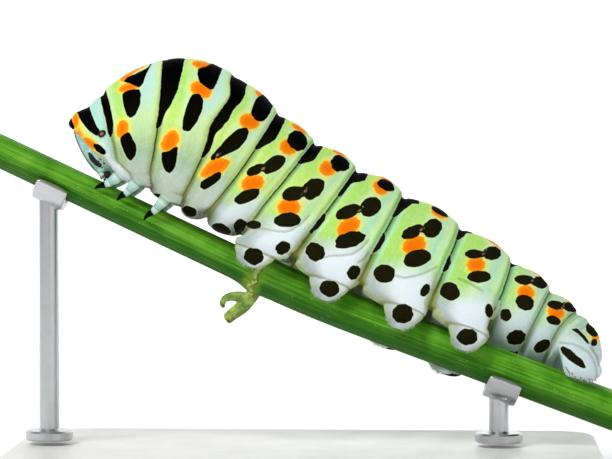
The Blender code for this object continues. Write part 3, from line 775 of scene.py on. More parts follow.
def within(u, v, outline):
    """The distance inside an outline, negative outside, of points near it."""
    points = rounded_off(outline)
    low, high = points.min(axis=0) + FAR, points.max(axis=0) - FAR
    near = (u > low[0]) & (u < high[0]) & (v > low[1]) & (v < high[1])
    x, y = u[near], v[near]
    closed = np.vstack((points, points[:1]))
    closest, inside = off_line(x, y, closed), np.zeros(len(x), dtype=bool)
    for (ax, ay), (bx, by) in zip(closed, closed[1:]):
        crossing = (ay > y) != (by > y)
        inside ^= crossing & (x < (bx - ax) * (y - ay) / (by - ay + 1e-12) + ax)
    result = np.full(len(u), FAR)
    result[near] = np.where(inside, closest, -closest)
    return result


def on_flank(inside):
    """Keeps a mark off the skin that faces away from its side."""
    return np.where(facing > FACING, inside, FAR)


print("corners that face a side:", int((facing > FACING).sum()))

# %% The flanks' spots
BLACK, ORANGE = "black", "orange"
# t, height, half its length, half its width, tilt in degrees
FLANK_SPOTS = {
    BLACK: (
        (6.35, 3.20, 0.50, 0.22, -15), (11.75, 1.92, 0.55, 0.17, 0), (14.08, 1.92, 0.52, 0.32, 0),
        (18.12, 7.55, 0.87, 0.48, 60), (17.11, 6.63, 0.71, 0.30, 51), (17.35, 4.66, 0.95, 0.40, 47),
        (16.70, 1.70, 0.70, 0.38, 0), (17.78, 2.52, 0.38, 0.50, 0), (21.50, 7.12, 0.85, 0.66, 63),
        (20.32, 6.23, 0.84, 0.48, 33), (20.73, 4.33, 0.97, 0.48, 26), (18.67, 3.03, 0.48, 0.28, 21),
        (21.27, 2.37, 0.50, 0.44, 50), (19.61, 0.97, 0.66, 0.58, 14), (26.13, 7.40, 0.80, 0.64, 55),
        (24.66, 6.50, 0.95, 0.44, 39), (25.59, 4.67, 1.08, 0.55, 34), (23.56, 2.99, 0.70, 0.60, -15),
        (26.76, 2.58, 0.50, 0.42, 75), (25.55, 0.90, 0.68, 0.56, 8), (30.97, 7.47, 0.70, 0.58, 70),
        (29.75, 6.74, 0.82, 0.40, 42), (30.70, 5.08, 0.96, 0.57, 32), (28.87, 3.24, 0.74, 0.62, 4),
        (32.02, 3.14, 0.47, 0.26, 83), (31.11, 1.01, 0.72, 0.66, 21), (35.56, 7.28, 0.60, 0.46, 24),
        (34.42, 6.79, 0.66, 0.30, 19), (35.29, 5.39, 0.80, 0.40, 23), (33.70, 3.68, 0.68, 0.60, -7),
        (36.79, 3.36, 0.47, 0.25, -68), (35.99, 1.07, 0.69, 0.57, 17), (39.45, 6.50, 0.52, 0.38, 0),
        (38.35, 6.30, 0.62, 0.33, 15), (38.97, 4.80, 0.64, 0.50, 0), (38.01, 3.49, 0.42, 0.36, -59),
        (39.26, 2.25, 0.62, 0.50, 32), (42.05, 5.60, 0.58, 0.28, 0), (41.10, 5.40, 0.60, 0.28, 10),
        (41.32, 4.32, 0.50, 0.28, 0), (41.20, 2.32, 0.62, 0.36, 50), (44.12, 4.65, 0.52, 0.34, -30),
        (44.57, 3.85, 0.18, 0.25, 0),
    ),
    ORANGE: (
        (5.55, 3.28, 0.55, 0.22, -12), (3.92, 4.30, 0.20, 0.46, 22), (6.34, 8.04, 0.63, 0.27, 37),
        (7.21, 5.20, 0.59, 0.38, -72), (10.46, 11.76, 0.65, 0.24, 13), (11.14, 10.14, 0.73, 0.48, 4),
        (10.70, 5.88, 0.77, 0.50, 80), (15.24, 9.57, 0.67, 0.51, 16), (18.53, 9.09, 0.56, 0.47, 21),
        (17.30, 5.67, 0.78, 0.52, 41), (21.88, 8.84, 0.56, 0.48, 0), (20.44, 5.20, 0.76, 0.58, 25),
        (26.32, 8.95, 0.60, 0.42, -10), (25.14, 5.54, 0.84, 0.55, 49), (31.04, 8.61, 0.52, 0.22, -6),
        (30.17, 5.88, 0.80, 0.56, 40), (34.79, 6.09, 0.60, 0.48, 27), (38.80, 5.50, 0.54, 0.46, 0),
        (41.30, 4.90, 0.56, 0.40, 0), (44.50, 4.28, 0.22, 0.22, 0),
    ),
}
for word, spots_here in FLANK_SPOTS.items():
    for t, h, half_long, half_wide, tilt in spots_here:
        paint(word, on_flank(blob(seen_t - t, seen_h - h, half_long, half_wide, tilt)))
print("flank spots:", sum(len(spots_here) for spots_here in FLANK_SPOTS.values()))

# %% The flanks' larger marks
# The shield and the tip of the collar, and the long marks of the chest, as outlines (t, height)
FLANK_OUTLINES = {
    BLACK: (
        (
            (4.32, 5.70), (3.64, 5.07), (4.09, 4.61), (5.0, 4.11), (5.8, 3.98), (5.98, 4.27),
            (5.45, 4.57), (4.93, 5.02), (4.5, 5.45),
        ),
        ((3.30, 4.50), (3.52, 4.36), (4.05, 3.78), (3.95, 3.55), (3.45, 3.80), (3.25, 4.20)),
        (
            (5.86, 8.32), (6.02, 8.72), (6.46, 9.22), (7.02, 9.90), (7.12, 10.4), (7.07, 9.42),
            (7.15, 8.87), (7.09, 8.42), (6.36, 8.41),
        ),
        (
            (6.14, 7.50), (6.52, 7.94), (7.08, 8.27), (7.33, 8.06), (7.60, 7.3), (7.62, 6.5),
            (7.40, 6.15), (7.05, 6.3), (6.55, 6.85),
        ),
        (
            (7.74, 5.22), (8.70, 4.43), (8.84, 3.8), (8.70, 3.4), (8.40, 3.5), (7.80, 4.0),
            (7.40, 4.45), (7.42, 4.75),
        ),
        (
            (10.34, 11.43), (10.7, 11.70), (11.20, 12.3), (11.80, 12.6), (11.92, 11.2), (11.90, 10.55),
            (11.63, 10.44), (10.85, 10.60), (10.49, 10.97),
        ),
        (
            (10.70, 9.53), (11.11, 9.80), (11.57, 9.58), (11.82, 8.8), (11.80, 7.8), (11.60, 7.05),
            (11.15, 7.0), (10.90, 7.61), (10.73, 8.59),
        ),
        (
            (11.33, 5.79), (11.60, 5.0), (11.78, 4.3), (11.62, 3.78), (11.25, 3.82), (10.75, 4.35),
            (10.49, 4.92), (10.88, 5.10),
        ),
        (
            (15.0, 11.3), (15.5, 11.9), (16.2, 11.8), (16.30, 10.62), (16.12, 10.0), (15.66, 9.84),
            (15.11, 10.12), (15.01, 10.72),
        ),
        (
            (15.24, 9.08), (15.50, 8.86), (15.55, 8.3), (15.35, 7.5), (14.82, 6.83), (14.27, 6.22),
            (13.95, 5.9), (13.81, 6.10), (14.0, 6.7), (14.3, 7.8), (14.75, 8.75),
        ),
        (
            (14.95, 5.41), (15.08, 5.0), (14.73, 4.24), (14.36, 3.77), (14.05, 3.85), (13.94, 4.20),
            (14.28, 4.68), (14.71, 5.30),
        ),
        (
            (42.72, 4.17), (43.09, 4.33), (43.54, 4.16), (44.03, 3.87), (44.27, 3.60), (43.97, 3.72),
            (43.60, 3.94), (43.22, 4.08),
        ),
        (
            (42.47, 2.63), (42.60, 2.82), (43.20, 2.75), (43.72, 2.52), (44.19, 2.40), (44.68, 1.90),
            (44.29, 1.87), (43.46, 2.04), (42.79, 2.32),
        ),
    ),
    ORANGE: (
        ((5.50, 8.35), (5.82, 8.30), (6.22, 9.20), (6.80, 10.05), (6.60, 10.5), (5.6, 9.6)),
        (
            (14.0, 5.95), (14.45, 6.3), (15.20, 6.4), (15.05, 5.6), (14.55, 5.05), (13.95, 4.55),
            (13.7, 4.6), (13.75, 5.2),
        ),
    ),
}
for word, outlines in FLANK_OUTLINES.items():
    for outline in outlines:
        paint(word, on_flank(within(seen_t, seen_h, outline)))
print("outlined marks:", sum(len(outlines) for outlines in FLANK_OUTLINES.values()))

# %% The breathing pores' places
# t, height, half its height and half its width. A pale slit in the black lies round each pore of
# the abdomen.
PORES = (
    (6.05, 4.22, 0.22, 0.17),
    (14.25, 6.42, 0.17, 0.10),
    (17.55, 6.93, 0.18, 0.10),
    (20.98, 6.72, 0.18, 0.10),
    (25.48, 6.92, 0.19, 0.10),
    (30.32, 7.05, 0.19, 0.10),
    (34.98, 7.02, 0.17, 0.09),
    (38.90, 6.40, 0.15, 0.09),
    (41.58, 5.52, 0.12, 0.08),
)
PORE_SLIT, PORE_SLIT_WIDE = np.array((0.09, 0.36)), 0.06

for t, h, _, _ in PORES[1:]:
    slit = off_line(seen_t, seen_h, ((t, h) - PORE_SLIT, (t, h), (t, h) + PORE_SLIT * (1.5, 1.0)))
    marks[BLACK] = np.minimum(marks[BLACK], slit - PORE_SLIT_WIDE)

# %% [markdown]
# On the back the marks lie round the body, so they are set by segment and angle: a black spot on
# the middle line, an orange one beside it, and a large black one below that on each side. A black
# band comes out from under each fold and crosses the whole back, wide at the top and narrowing to
# nothing on the flanks.

# %% The back's spots and bands
BODY_RADIUS = 4.4
# place, angle, half its length in millimetres, half its width in degrees
BACK_SPOTS = {
    BLACK: (
        (1.70, 0, 0.34, 10), (2.74, 0, 0.46, 11), (3.78, 0, 0.42, 11), (4.68, 45, 0.64, 14),
        (4.72, 0, 0.46, 12), (5.66, 44, 0.66, 14), (5.72, 0, 0.46, 12), (6.63, 43, 0.62, 12),
        (6.72, 0, 0.46, 12), (7.61, 42, 0.62, 10), (7.72, 0, 0.46, 12), (8.62, 24, 0.55, 12),
        (9.60, 24, 0.50, 12), (10.62, 24, 0.40, 12),
    ),
    ORANGE: (
        (1.44, 9, 0.48, 6), (3.62, 20, 0.52, 7), (4.55, 26, 0.54, 7), (5.52, 25, 0.50, 7),
        (6.54, 25, 0.46, 7), (7.54, 26, 0.46, 7), (8.61, 40, 0.56, 6), (9.60, 40, 0.48, 5),
        (10.70, 42, 0.34, 5),
    ),
}
for word, spots_here in BACK_SPOTS.items():
    for at, degrees_at, half_long, half_wide in spots_here:
        along = (place - at) * length
        round_it = np.radians(degrees - degrees_at) * BODY_RADIUS
        inside = blob(along, round_it, half_long, math.radians(half_wide) * BODY_RADIUS, 0.0)
        paint(word, np.where((segment == int(at)) & on_body, inside, FAR))

# How far a band reaches into its fold and up the wall of the lip before it, and how fast it
# thins out where it ends
BAND_TUCK, BAND_TAPER = 0.08, 4.0
# Of each segment that has a band: its width in millimetres at angles round the body
BANDS = {
    1: ((0, 0.40), (50, 0.50), (82, 0.46), (97, -0.1)),
    2: ((0, 1.50), (37, 1.40), (59, 1.20), (72, 0.88), (82, 0.50), (91, 0.25), (95, -0.1)),
    3: (
        (0, 1.25), (36, 1.20), (46, 0.92), (56, 0.66), (63, 0.68), (70, 0.80), (79, 0.74), (87, 0.42),
        (95, 0.34), (102, 0.12), (106, -0.1),
    ),
    4: ((0, 0.50), (30, 0.72), (60, 0.82), (68, 0.60), (74, 0.20), (78, -0.1)),
    5: ((0, 0.60), (20, 0.70), (44, 0.80), (58, 0.85), (63, 0.60), (67, -0.1)),
    6: (
        (0, 0.80), (24, 0.92), (50, 1.08), (56, 0.80), (60, 0.26), (78, 0.20), (84, -0.1), (94, -0.1),
        (101, 0.30), (112, 0.30), (122, -0.1),
    ),
    7: (
        (0, 1.00), (28, 1.20), (46, 1.30), (51, 0.82), (62, 0.64), (74, 0.26), (80, -0.1), (92, -0.1),
        (100, 0.26), (110, 0.26), (120, -0.1),
    ),
    8: (
        (0, 0.80), (36, 0.96), (46, 0.86), (52, 0.48), (62, 0.40), (72, -0.1), (90, -0.1), (97, 0.20),
        (106, 0.20), (115, -0.1),
    ),
    9: ((0, 0.40), (44, 0.50), (58, 0.10), (62, -0.1)),
    10: ((0, 0.26), (44, 0.30), (50, -0.1)),
}
for number, widths in BANDS.items():
    wide = np.interp(degrees, *zip(*widths))
    past_fold = np.where(segment == number, behind, np.where(segment == number - 1, -before, FAR_OFF))
    inside = np.minimum(np.minimum(wide - past_fold, past_fold + BAND_TUCK), BAND_TAPER * wide)
    paint(BLACK, np.where((np.abs(past_fold) < FAR_OFF - 1.0) & on_body, inside, FAR))
print("bands:", len(BANDS), "- back spots:", sum(len(spots_here) for spots_here in BACK_SPOTS.values()))

# %% What the paint reads
# White comes in from a height down to another one over the stem's middle line, or between two
# angles round the body. It begins higher up at the rear of each segment than at its front.
PALE_ROUNDS, PALE_HEIGHTS, PALE_ANGLES, PALE_ANGLES_INSIDE = 8, (4.6, 2.7), (112.0, 140.0), (96.0, 128.0)
higher = 1.1 * share - 0.5 * ease(24.0, 40.0, seen_t) - 0.8 * ease(14.0, 8.0, seen_t)
pale = np.maximum(ease(*PALE_HEIGHTS, seen_h - higher), ease(*PALE_ANGLES, degrees))
pale = np.where(facing > 0.0, pale, ease(*PALE_ANGLES_INSIDE, degrees))
for _ in range(PALE_ROUNDS):
    pale = neighbours_mean(pale)
for word, values in {
    **marks,
    "hollow": hollow,
    "place": np.where(segment == SEGMENTS - 1, segment + 0.15 + 0.6 * share, place),
    "length": length,
    "off_fold": to_fold - np.minimum(share, 1.0 - share) * length,
    "around": angle / np.pi,
    "low": pale,
    "tail": ease(8.4, 10.6, place),
    "chest": ease(4.6, 3.4, place) * ease(0.7, 1.1, place),
    "collar": ease(1.0, 0.9, place),
    "ankle": np.maximum(ankle, 0.8 * creases),
}.items():
    note(skin, word, values)
shape(skin, on_larva(flat_spots))
print("the skin is posed,", len(marks[BLACK]), "corners")

# %% [markdown]
# Materials are built from a few node calls that each add one node and join it up. Colours are
# given as a person reads them off a screen, from 0 to 255, and turned to the linear values that
# the shader wants.

# %% Tools for materials
# Where a Mix node keeps its two colours and its mixed colour
COLOUR_A, COLOUR_B, COLOUR_RESULT = 6, 7, 2


def screen(*levels):
    """A colour as read off a screen, in the shader's linear values."""
    shares = [level / 255.0 for level in levels]
    return (*(((s + 0.055) / 1.055) ** 2.4 if s > 10.0 / 255.0 else s / 12.92 for s in shares), 1.0)


class Paint:
    """One material and the calls that add its nodes."""

    def __init__(self, name, roughness=0.5, metallic=0.0, specular=0.5):
        self.made = bpy.data.materials.new(name)
        self.made.use_nodes = True
        self.tree = self.made.node_tree
        self.shader = self.tree.nodes["Principled BSDF"]
        # Constant values stand on the shader's own sockets
        self.shader.inputs["Roughness"].default_value = roughness
        self.shader.inputs["Metallic"].default_value = metallic
        self.shader.inputs["Specular IOR Level"].default_value = specular
        self.spots = self.tree.nodes.new("ShaderNodeTexCoord").outputs["Object"]

    def link(self, value, socket):
        """Joins an output to a socket, or sets the socket to a plain value."""
        if isinstance(value, bpy.types.NodeSocket):
            self.tree.links.new(value, socket)
        elif value is not None:
            socket.default_value = value

    def node(self, kind, *values, **settings):
        """A new node with these settings, and these values or outputs on its first sockets."""
        made = self.tree.nodes.new(f"ShaderNode{kind}")
        for word, setting in settings.items():
            setattr(made, word, setting)
        for value, socket in zip(values, made.inputs):
            self.link(value, socket)
        return made

    def read(self, word):
        return self.node("Attribute", attribute_name=word).outputs["Fac"]

    def maths(self, operation, *values, clamp=False):
        return self.node("Math", *values, operation=operation, use_clamp=clamp).outputs[0]

    def times(self, first, second):
        return self.maths("MULTIPLY", first, second)

    def plus(self, first, second):
        return self.maths("ADD", first, second)

    def off(self, value, centre):
        """How far a value is from a centre, to either side."""
        return self.maths("ABSOLUTE", self.maths("SUBTRACT", value, centre))

    def swing(self, noise, size):
        """Noise as a value that swings to both sides of nothing."""
        return self.times(self.maths("SUBTRACT", noise, 0.5), size)

    def ramp(self, value, low, high, bottom=0.0, top=1.0):
        """A smooth change from bottom to top while the value goes from low to high."""
        values = (value, low, high, bottom, top)
        return self.node("MapRange", *values, interpolation_type="SMOOTHSTEP").outputs[0]

    def noise(self, size_mm, detail=3.0, vector=None, roughness=0.5):
        """Noise whose waves are about so many millimetres long."""
        node = self.node("TexNoise", self.spots if vector is None else vector)
        node.inputs["Scale"].default_value = 1.0 / (size_mm * MM) if vector is None else 1.0 / size_mm
        node.inputs["Detail"].default_value = detail
        node.inputs["Roughness"].default_value = roughness
        return node.outputs["Fac"]

    def cells(self, size_mm):
        node = self.node("TexVoronoi", self.spots)
        node.inputs["Scale"].default_value = 1.0 / (size_mm * MM)
        return node.outputs["Distance"]

    def behind_mm(self):
        """How far behind the model a point lies."""
        return self.maths("DIVIDE", self.node("SeparateXYZ", self.spots).outputs[1], MM)

    def vector(self, *parts):
        return self.node("CombineXYZ", *parts).outputs[0]

    def blend(self, share, first, second):
        node = self.node("Mix", share, data_type="RGBA")
        self.link(first, node.inputs[COLOUR_A])
        self.link(second, node.inputs[COLOUR_B])
        return node.outputs[COLOUR_RESULT]

    def coats(self, colour, *layers):
        """Lays colours over a first one, in this order, each as (share, colour)."""
        for share, over in layers:
            colour = self.blend(share, colour, over)
        return colour

    def stripes(self, value, *stops):
        """Colours along a value, as (position, colour) stops."""
        node = self.node("ValToRGB", value)
        node.color_ramp.interpolation = "EASE"
        marks_here = node.color_ramp.elements
        while len(marks_here) < len(stops):
            marks_here.new(0.5)
        for mark, (position, colour) in zip(marks_here, stops):
            mark.position = position
            mark.color = colour
        return node.outputs["Color"]

    def relief(self, height, depth_mm, after=None):
        """A bump of so many millimetres, on top of the bump before it."""
        node = self.node("Bump")
        node.inputs["Distance"].default_value = depth_mm * MM
        self.link(height, node.inputs["Height"])
        self.link(after, node.inputs["Normal"])
        return node.outputs[0]

    def finish(self, colour=None, roughness=None, normal=None):
        self.link(colour, self.shader.inputs["Base Color"])
        self.link(roughness, self.shader.inputs["Roughness"])
        self.link(normal, self.shader.inputs["Normal"])
        return self.made

    def glow_through(self, weight, scale_mm, *radii):
        self.shader.inputs["Subsurface Weight"].default_value = weight
        self.shader.inputs["Subsurface Scale"].default_value = scale_mm * MM
        self.shader.inputs["Subsurface Radius"].default_value = radii


def dress(piece, material):
    """Gives a piece this material and no other."""
    piece.data.materials.clear()
    piece.data.materials.append(material)


def horn(name, roughness, specular, patches, first, second, grain):
    """A plain hard finish: patches of a second colour on the first, and a fine grain. patches
    holds their size in millimetres and where they begin, grain its size and its depth."""
    p = Paint(name, roughness=roughness, specular=specular)
    size, low, high = patches
    colour = p.blend(p.ramp(p.noise(size), low, high), first, second)
    return p.finish(colour, None, p.relief(p.noise(grain[0]), grain[1]))


print("paint tools ready")

# %% [markdown]
# The living skin is thin and moist, so light sinks a little way in. Its ground colour changes
# along every segment, from fresh yellow-green behind the fold, over a pale cream middle, to a
# cool blue-white lip, and it turns to white on the lower flank and the feet. Orange spots have a
# soft yellow halo, and black spots a crisp edge with a thin pale rim. Painted shade darkens the
# creases to olive, the ends of each segment by its folds and the underside, and a painted shadow
# lies between the feet.

# %% The skin's paint
MINT, CREAM, LIME = screen(184, 238, 192), screen(208, 244, 172), screen(180, 233, 108)
LIP_BLUE, FRESH_GREEN, LEAF = screen(196, 238, 218), screen(146, 208, 96), screen(84, 138, 44)
WHITE, GREY_WHITE, COOL = screen(238, 249, 254), screen(178, 192, 186), screen(178, 232, 214)
YELLOW, ORANGE_DEEP, ORANGE_LIGHT = screen(250, 232, 74), screen(255, 124, 8), screen(255, 152, 24)
OLIVE, OLIVE_DARK = screen(128, 132, 62), screen(62, 72, 22)
JET, BROWN_BLACK = screen(1, 1, 1), screen(32, 30, 12)
LEMON, MOSS, PALE_RIM = screen(214, 238, 120), screen(176, 190, 132), screen(240, 246, 214)
# All three are painted: shade on the chest's lower flank, shade on its underside, and a shadow between the
# feet
CHEST_SHADE, CHEST_UNDERSIDE_SHADE, FEET_GAP_SHADOW = screen(144, 170, 128), screen(168, 184, 140), screen(58, 50, 26)
TAIL_GREY, TAIL_BELLY = screen(190, 214, 206), screen(176, 202, 212)

p = Paint("larva skin", roughness=0.38, specular=0.004)
whole, around, low, chest, tail, collar = (
    p.read(word) for word in ("place", "around", "low", "chest", "tail", "collar")
)
along = p.maths("FRACT", whole)
nearest = p.maths("MINIMUM", along, p.maths("SUBTRACT", 1.0, along))
fold = p.plus(p.times(nearest, p.read("length")), p.read("off_fold"))
mottle, fine = p.noise(1.3, 2.0), p.noise(0.22, 3.0)
shifted = p.plus(along, p.swing(mottle, p.ramp(fold, 0.3, 1.2, 0.0, 0.24)))

# The back and the flanks. The darker greens and olive at the ends of these ramps, next to each
# fold, are partly the skin's own green and partly painted shade under the lip
upper = p.stripes(
    shifted, (0.0, FRESH_GREEN), (0.08, MINT), (0.16, LIME), (0.36, LIME), (0.56, CREAM), (0.74, MINT),
    (0.85, CREAM), (0.92, FRESH_GREEN), (0.97, MINT), (1.0, LEAF)
)
chest_upper = p.stripes(
    shifted, (0.0, FRESH_GREEN), (0.10, CREAM), (0.28, LIME), (0.44, CREAM), (0.58, COOL),
    (0.80, LIP_BLUE), (0.93, CREAM), (1.0, OLIVE)
)
collar_upper = p.stripes(
    shifted, (0.0, ORANGE_LIGHT), (0.10, YELLOW), (0.30, CREAM), (0.62, COOL), (1.0, LIP_BLUE)
)
middle = p.times(p.ramp(around, 0.33, 0.47), p.ramp(around, 0.68, 0.55))
chestwards = p.times(p.ramp(whole, 1.0, 1.6), p.ramp(whole, 7.0, 5.0, 0.0, 0.55))
upper = p.coats(
    upper,
    (chest, chest_upper),
    (collar, collar_upper),
    (p.times(tail, 0.62), TAIL_GREY),
    (p.times(middle, chestwards), LEMON),
    (p.times(chest, p.ramp(around, 0.46, 0.62, 0.0, 0.6)), CHEST_SHADE),
)

# The lower flank, the feet and the belly. The grey towards the underside and on the chest's
# underside is painted shade, MOSS next to the folds is partly painted shade, and the dark brown
# between the feet is a painted shadow
between = p.times(p.ramp(around, 0.78, 0.86), p.ramp(fold, 1.1, 0.4, 0.0, 0.8))
lower = p.coats(
    p.stripes(shifted, (0.0, MOSS), (0.14, GREY_WHITE), (0.5, WHITE), (0.85, WHITE), (1.0, MOSS)),
    (p.times(p.ramp(around, 0.74, 0.92), 0.55), GREY_WHITE),
    (p.times(chest, 0.6), CHEST_UNDERSIDE_SHADE),
    (p.times(tail, 0.55), TAIL_BELLY),
    (p.times(between, p.ramp(tail, 0.3, 0.0)), FEET_GAP_SHADOW),
)

# Both together, with painted olive shade in the creases and along the ankles, painted shade
# under each lip, and a painted dark shadow line in each fold
low_edge = p.maths("ADD", low, p.swing(mottle, 0.7), clamp=True)
painted_crease_shade = p.times(p.ramp(p.read("hollow"), 0.5, 2.4, 0.0, 0.38), p.maths("SUBTRACT", 1.0, collar))
painted_lip_shade = p.times(p.ramp(fold, 0.60, 0.03, 0.0, 0.6), p.ramp(along, 0.5, 0.35))
painted_fold_shadow = p.times(p.ramp(fold, 0.075, 0.035), p.ramp(tail, 0.0, 1.0, 1.0, 0.5))
painted_fold_shadow = p.times(painted_fold_shadow, p.ramp(p.off(whole, 1.0), 0.1, 0.3, 0.3, 1.0))
ground = p.coats(
    upper,
    (low_edge, lower),
    (p.times(p.ramp(fine, 0.42, 0.75), 0.16), WHITE),
    (painted_crease_shade, OLIVE),
    (painted_lip_shade, p.blend(low_edge, LEAF, OLIVE)),
    (painted_fold_shadow, p.blend(low_edge, OLIVE_DARK, OLIVE)),
    (p.ramp(p.read("ankle"), 0.35, 0.95, 0.0, 0.62), OLIVE),
)

# The marks
edge = p.swing(p.noise(0.30, 2.0), 0.16)
orange = p.plus(p.read("orange"), edge)
black = p.plus(p.read("black"), p.times(edge, 0.55))
halo = p.ramp(p.plus(orange, p.times(mottle, 0.30)), -0.36, 0.16)
rim = p.times(p.ramp(black, -0.20, -0.03), p.ramp(orange, -0.35, -0.15, 0.22, 0.0))
browned = p.times(p.ramp(around, 0.22, 0.42), p.ramp(whole, 2.6, 5.0, 0.25, 1.0))
ink = p.blend(p.times(browned, p.ramp(fine, 0.2, 0.8, 0.7, 1.0)), JET, BROWN_BLACK)
ground = p.coats(
    ground,
    (p.times(halo, 0.75), YELLOW),
    (p.ramp(orange, -0.10, 0.0), p.blend(p.ramp(orange, 0.0, 0.35), ORANGE_LIGHT, ORANGE_DEEP)),
    (rim, PALE_RIM),
    (p.ramp(black, -0.055, -0.015), ink),
)

# Fine pleats, a finer grain, and a moist gloss that is duller on the black
stretched = p.vector(p.times(along, 26.0), p.times(around, 5.0), 0.0)
grained = p.relief(p.cells(0.16), 0.014, p.relief(p.noise(1.0, 3.0, stretched), 0.05))
moist = p.plus(p.ramp(fine, 0.3, 0.7, 0.30, 0.44), p.times(p.ramp(black, -0.05, -0.01), 0.14))
dress(skin, p.finish(ground, moist, grained))
p.glow_through(0.15, 0.55, 1.0, 0.9, 0.5)
print("the skin is painted")

# %% The skin takes its place
flesh = [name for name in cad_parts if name.startswith(("thorax", "abdomen", "proleg", "anal_proleg"))]
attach(skin, "root")
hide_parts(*flesh)
print("the skin stands for", len(flesh), "parts")

# %% [markdown]
# The head is a hard capsule of two rounded cheeks that hangs under the collar with its face to
# the stem. A furrow parts the cheeks and forks above the mouth round a small triangular plate. It
# begins as a ball that is squared a little and then shaped by a formula, as the furrows have to
# follow the capsule closely. Black stripes run down the face and across each cheek.

# %% The head capsule
HEAD_CENTRE, HEAD_TILT = (6.35, 0.0, 3.50), 36.7
HEAD_MOUTH, HEAD_CROWN, HEAD_DEEP, HEAD_WIDE = 2.05, 2.50, 1.45, 2.10
HEAD_SQUARENESS, CHEEK_AT = 2.8, 0.45
CHEEK_SWELL, CHEEK_WIDE, FURROW, FURROW_WIDE, FORK_WIDE = 0.05, 0.3, 0.075, 0.055, 0.34
PLATE_SWELL, PLATE_WIDE, MOUTH_NARROWS = 0.03, 0.2, 0.16
EYE_AT, EYE_RADIUS = (1.32, 0.50), 0.42
ANTENNA_AT, ANTENNA_LENGTH, ANTENNA_RADIUS = (1.62, 0.80), 0.75, 0.26

tilt = math.radians(HEAD_TILT)
down = np.array((math.cos(tilt), 0.0, -math.sin(tilt)))
out = np.array((-math.sin(tilt), 0.0, -math.cos(tilt)))
sideways = np.array((0.0, 1.0, 0.0))


def head_at(down_part, out_part, side_part):
    """Points (t, y, h) of the capsule, from their parts of its half axes."""
    mouth = np.maximum(0.0, down_part)
    face = ease(-0.1, 0.4, out_part)
    cheeks = CHEEK_SWELL * bell(np.abs(side_part) - CHEEK_AT, CHEEK_WIDE) * (1.0 - mouth)
    fork = FORK_WIDE * ease(-0.25, 0.85, down_part)
    furrow = FURROW * bell(np.abs(side_part) - fork, FURROW_WIDE) * (1.0 - 0.5 * mouth)
    furrow *= np.where(down_part < -0.25, 1.0, face)
    plate = PLATE_SWELL * bell(side_part, PLATE_WIDE) * ease(0.2, 0.7, down_part) * face
    reach_here = np.where(down_part > 0.0, HEAD_MOUTH, HEAD_CROWN)
    form = down * (down_part * reach_here)[:, None] + out * (out_part * HEAD_DEEP)[:, None]
    form = form + sideways * (side_part * HEAD_WIDE * (1.0 - MOUTH_NARROWS * mouth * mouth))[:, None]
    return np.array(HEAD_CENTRE) + form * (1.0 + cheeks - furrow + plate)[:, None]


def on_cheek(down_mm, out_mm, side):
    """The spot and the outward way on one side of the head, so far down and out from its middle."""
    a, b = down_mm / HEAD_MOUTH, out_mm / HEAD_DEEP
    left_over = max(0.0, 1.0 - abs(a) ** HEAD_SQUARENESS - abs(b) ** HEAD_SQUARENESS)
    c = side * left_over ** (1.0 / HEAD_SQUARENESS)
    spot = head_at(*(np.array([v]) for v in (a, b, c)))[0]
    return spot, unit(down * a / HEAD_MOUTH + out * b / HEAD_DEEP + sideways * c / HEAD_WIDE)


uv_sphere = bpy.ops.mesh.primitive_uv_sphere_add
head = newly_made("head_capsule", uv_sphere, segments=120, ring_count=80, radius=1.0)
ball = corners(head)
ball /= ((np.abs(ball) ** HEAD_SQUARENESS).sum(axis=1) ** (1.0 / HEAD_SQUARENESS))[:, None]
down_part, out_part, side_part = ball[:, 2], ball[:, 0], ball[:, 1]
head_flat = head_at(down_part, out_part, side_part)
close_up(head, BALL_WELD)
print("the head is", round(2.0 * HEAD_WIDE, 1), "mm wide,", len(head_flat), "corners")

# %% The head's stripes
CHEEK_STRIPE = (
    (5.85, 2.72), (6.10, 2.78), (6.60, 2.52), (7.10, 2.36), (7.12, 2.10), (6.75, 2.10), (6.20, 2.30),
)
MOUTH_SMUDGE = ((5.70, 2.35), (6.10, 2.08), (6.55, 1.92), (6.60, 1.62), (6.20, 1.62), (5.60, 2.05))
FACE_STRIPE_AT, FACE_STRIPE_HALF, FACE_STRIPE_TO, STRIPES_MEET = 0.50, 0.10, 0.66, 0.3


def on_side(outline):
    """A mark of the cheeks, from its outline as it shows from the side."""
    here = roll_at(head_flat[:, 0])
    height = head_flat[:, 2] * np.cos(here) + np.abs(head_flat[:, 1]) * np.sin(here)
    return np.where(np.abs(side_part) > CHEEK_AT, within(head_flat[:, 0], height, outline), FAR)


stripe_at = FACE_STRIPE_AT * (1.0 - STRIPES_MEET * np.maximum(down_part, 0.0))
face_stripe = (FACE_STRIPE_HALF - np.abs(np.abs(side_part) - stripe_at)) * HEAD_WIDE
face_stripe = np.minimum(face_stripe, (FACE_STRIPE_TO - down_part) * HEAD_MOUTH)
stripe = np.maximum(on_side(CHEEK_STRIPE), np.where(out_part > 0.0, face_stripe, FAR))
for word, values in (("black", stripe), ("smudge", on_side(MOUTH_SMUDGE)), ("down", down_part)):
    note(head, word, values)
shape(head, on_larva(head_flat))
print("striped corners:", int((stripe > 0.0).sum()))

# %% [markdown]
# Six tiny simple eyes sit in a curved row low on each cheek, like glass beads in dark sockets.
# Beside the mouth stands a short feeler of three joints. Dark jaws with blunt teeth close
# sideways under a pale upper lip with a notch in its middle.

# %% The simple eyes
EYE_BEADS, EYE_BEAD, EYE_ARC_FROM, EYE_ARC = 6, 0.115, 40.0, 250.0
# The last eye stands inside the arc of the others, and each eye is smaller than the one before
ON_ARC, OFF_ARC, EYE_SHRINK, EYE_FLAT = 0.78, 0.30, 0.05, 0.8


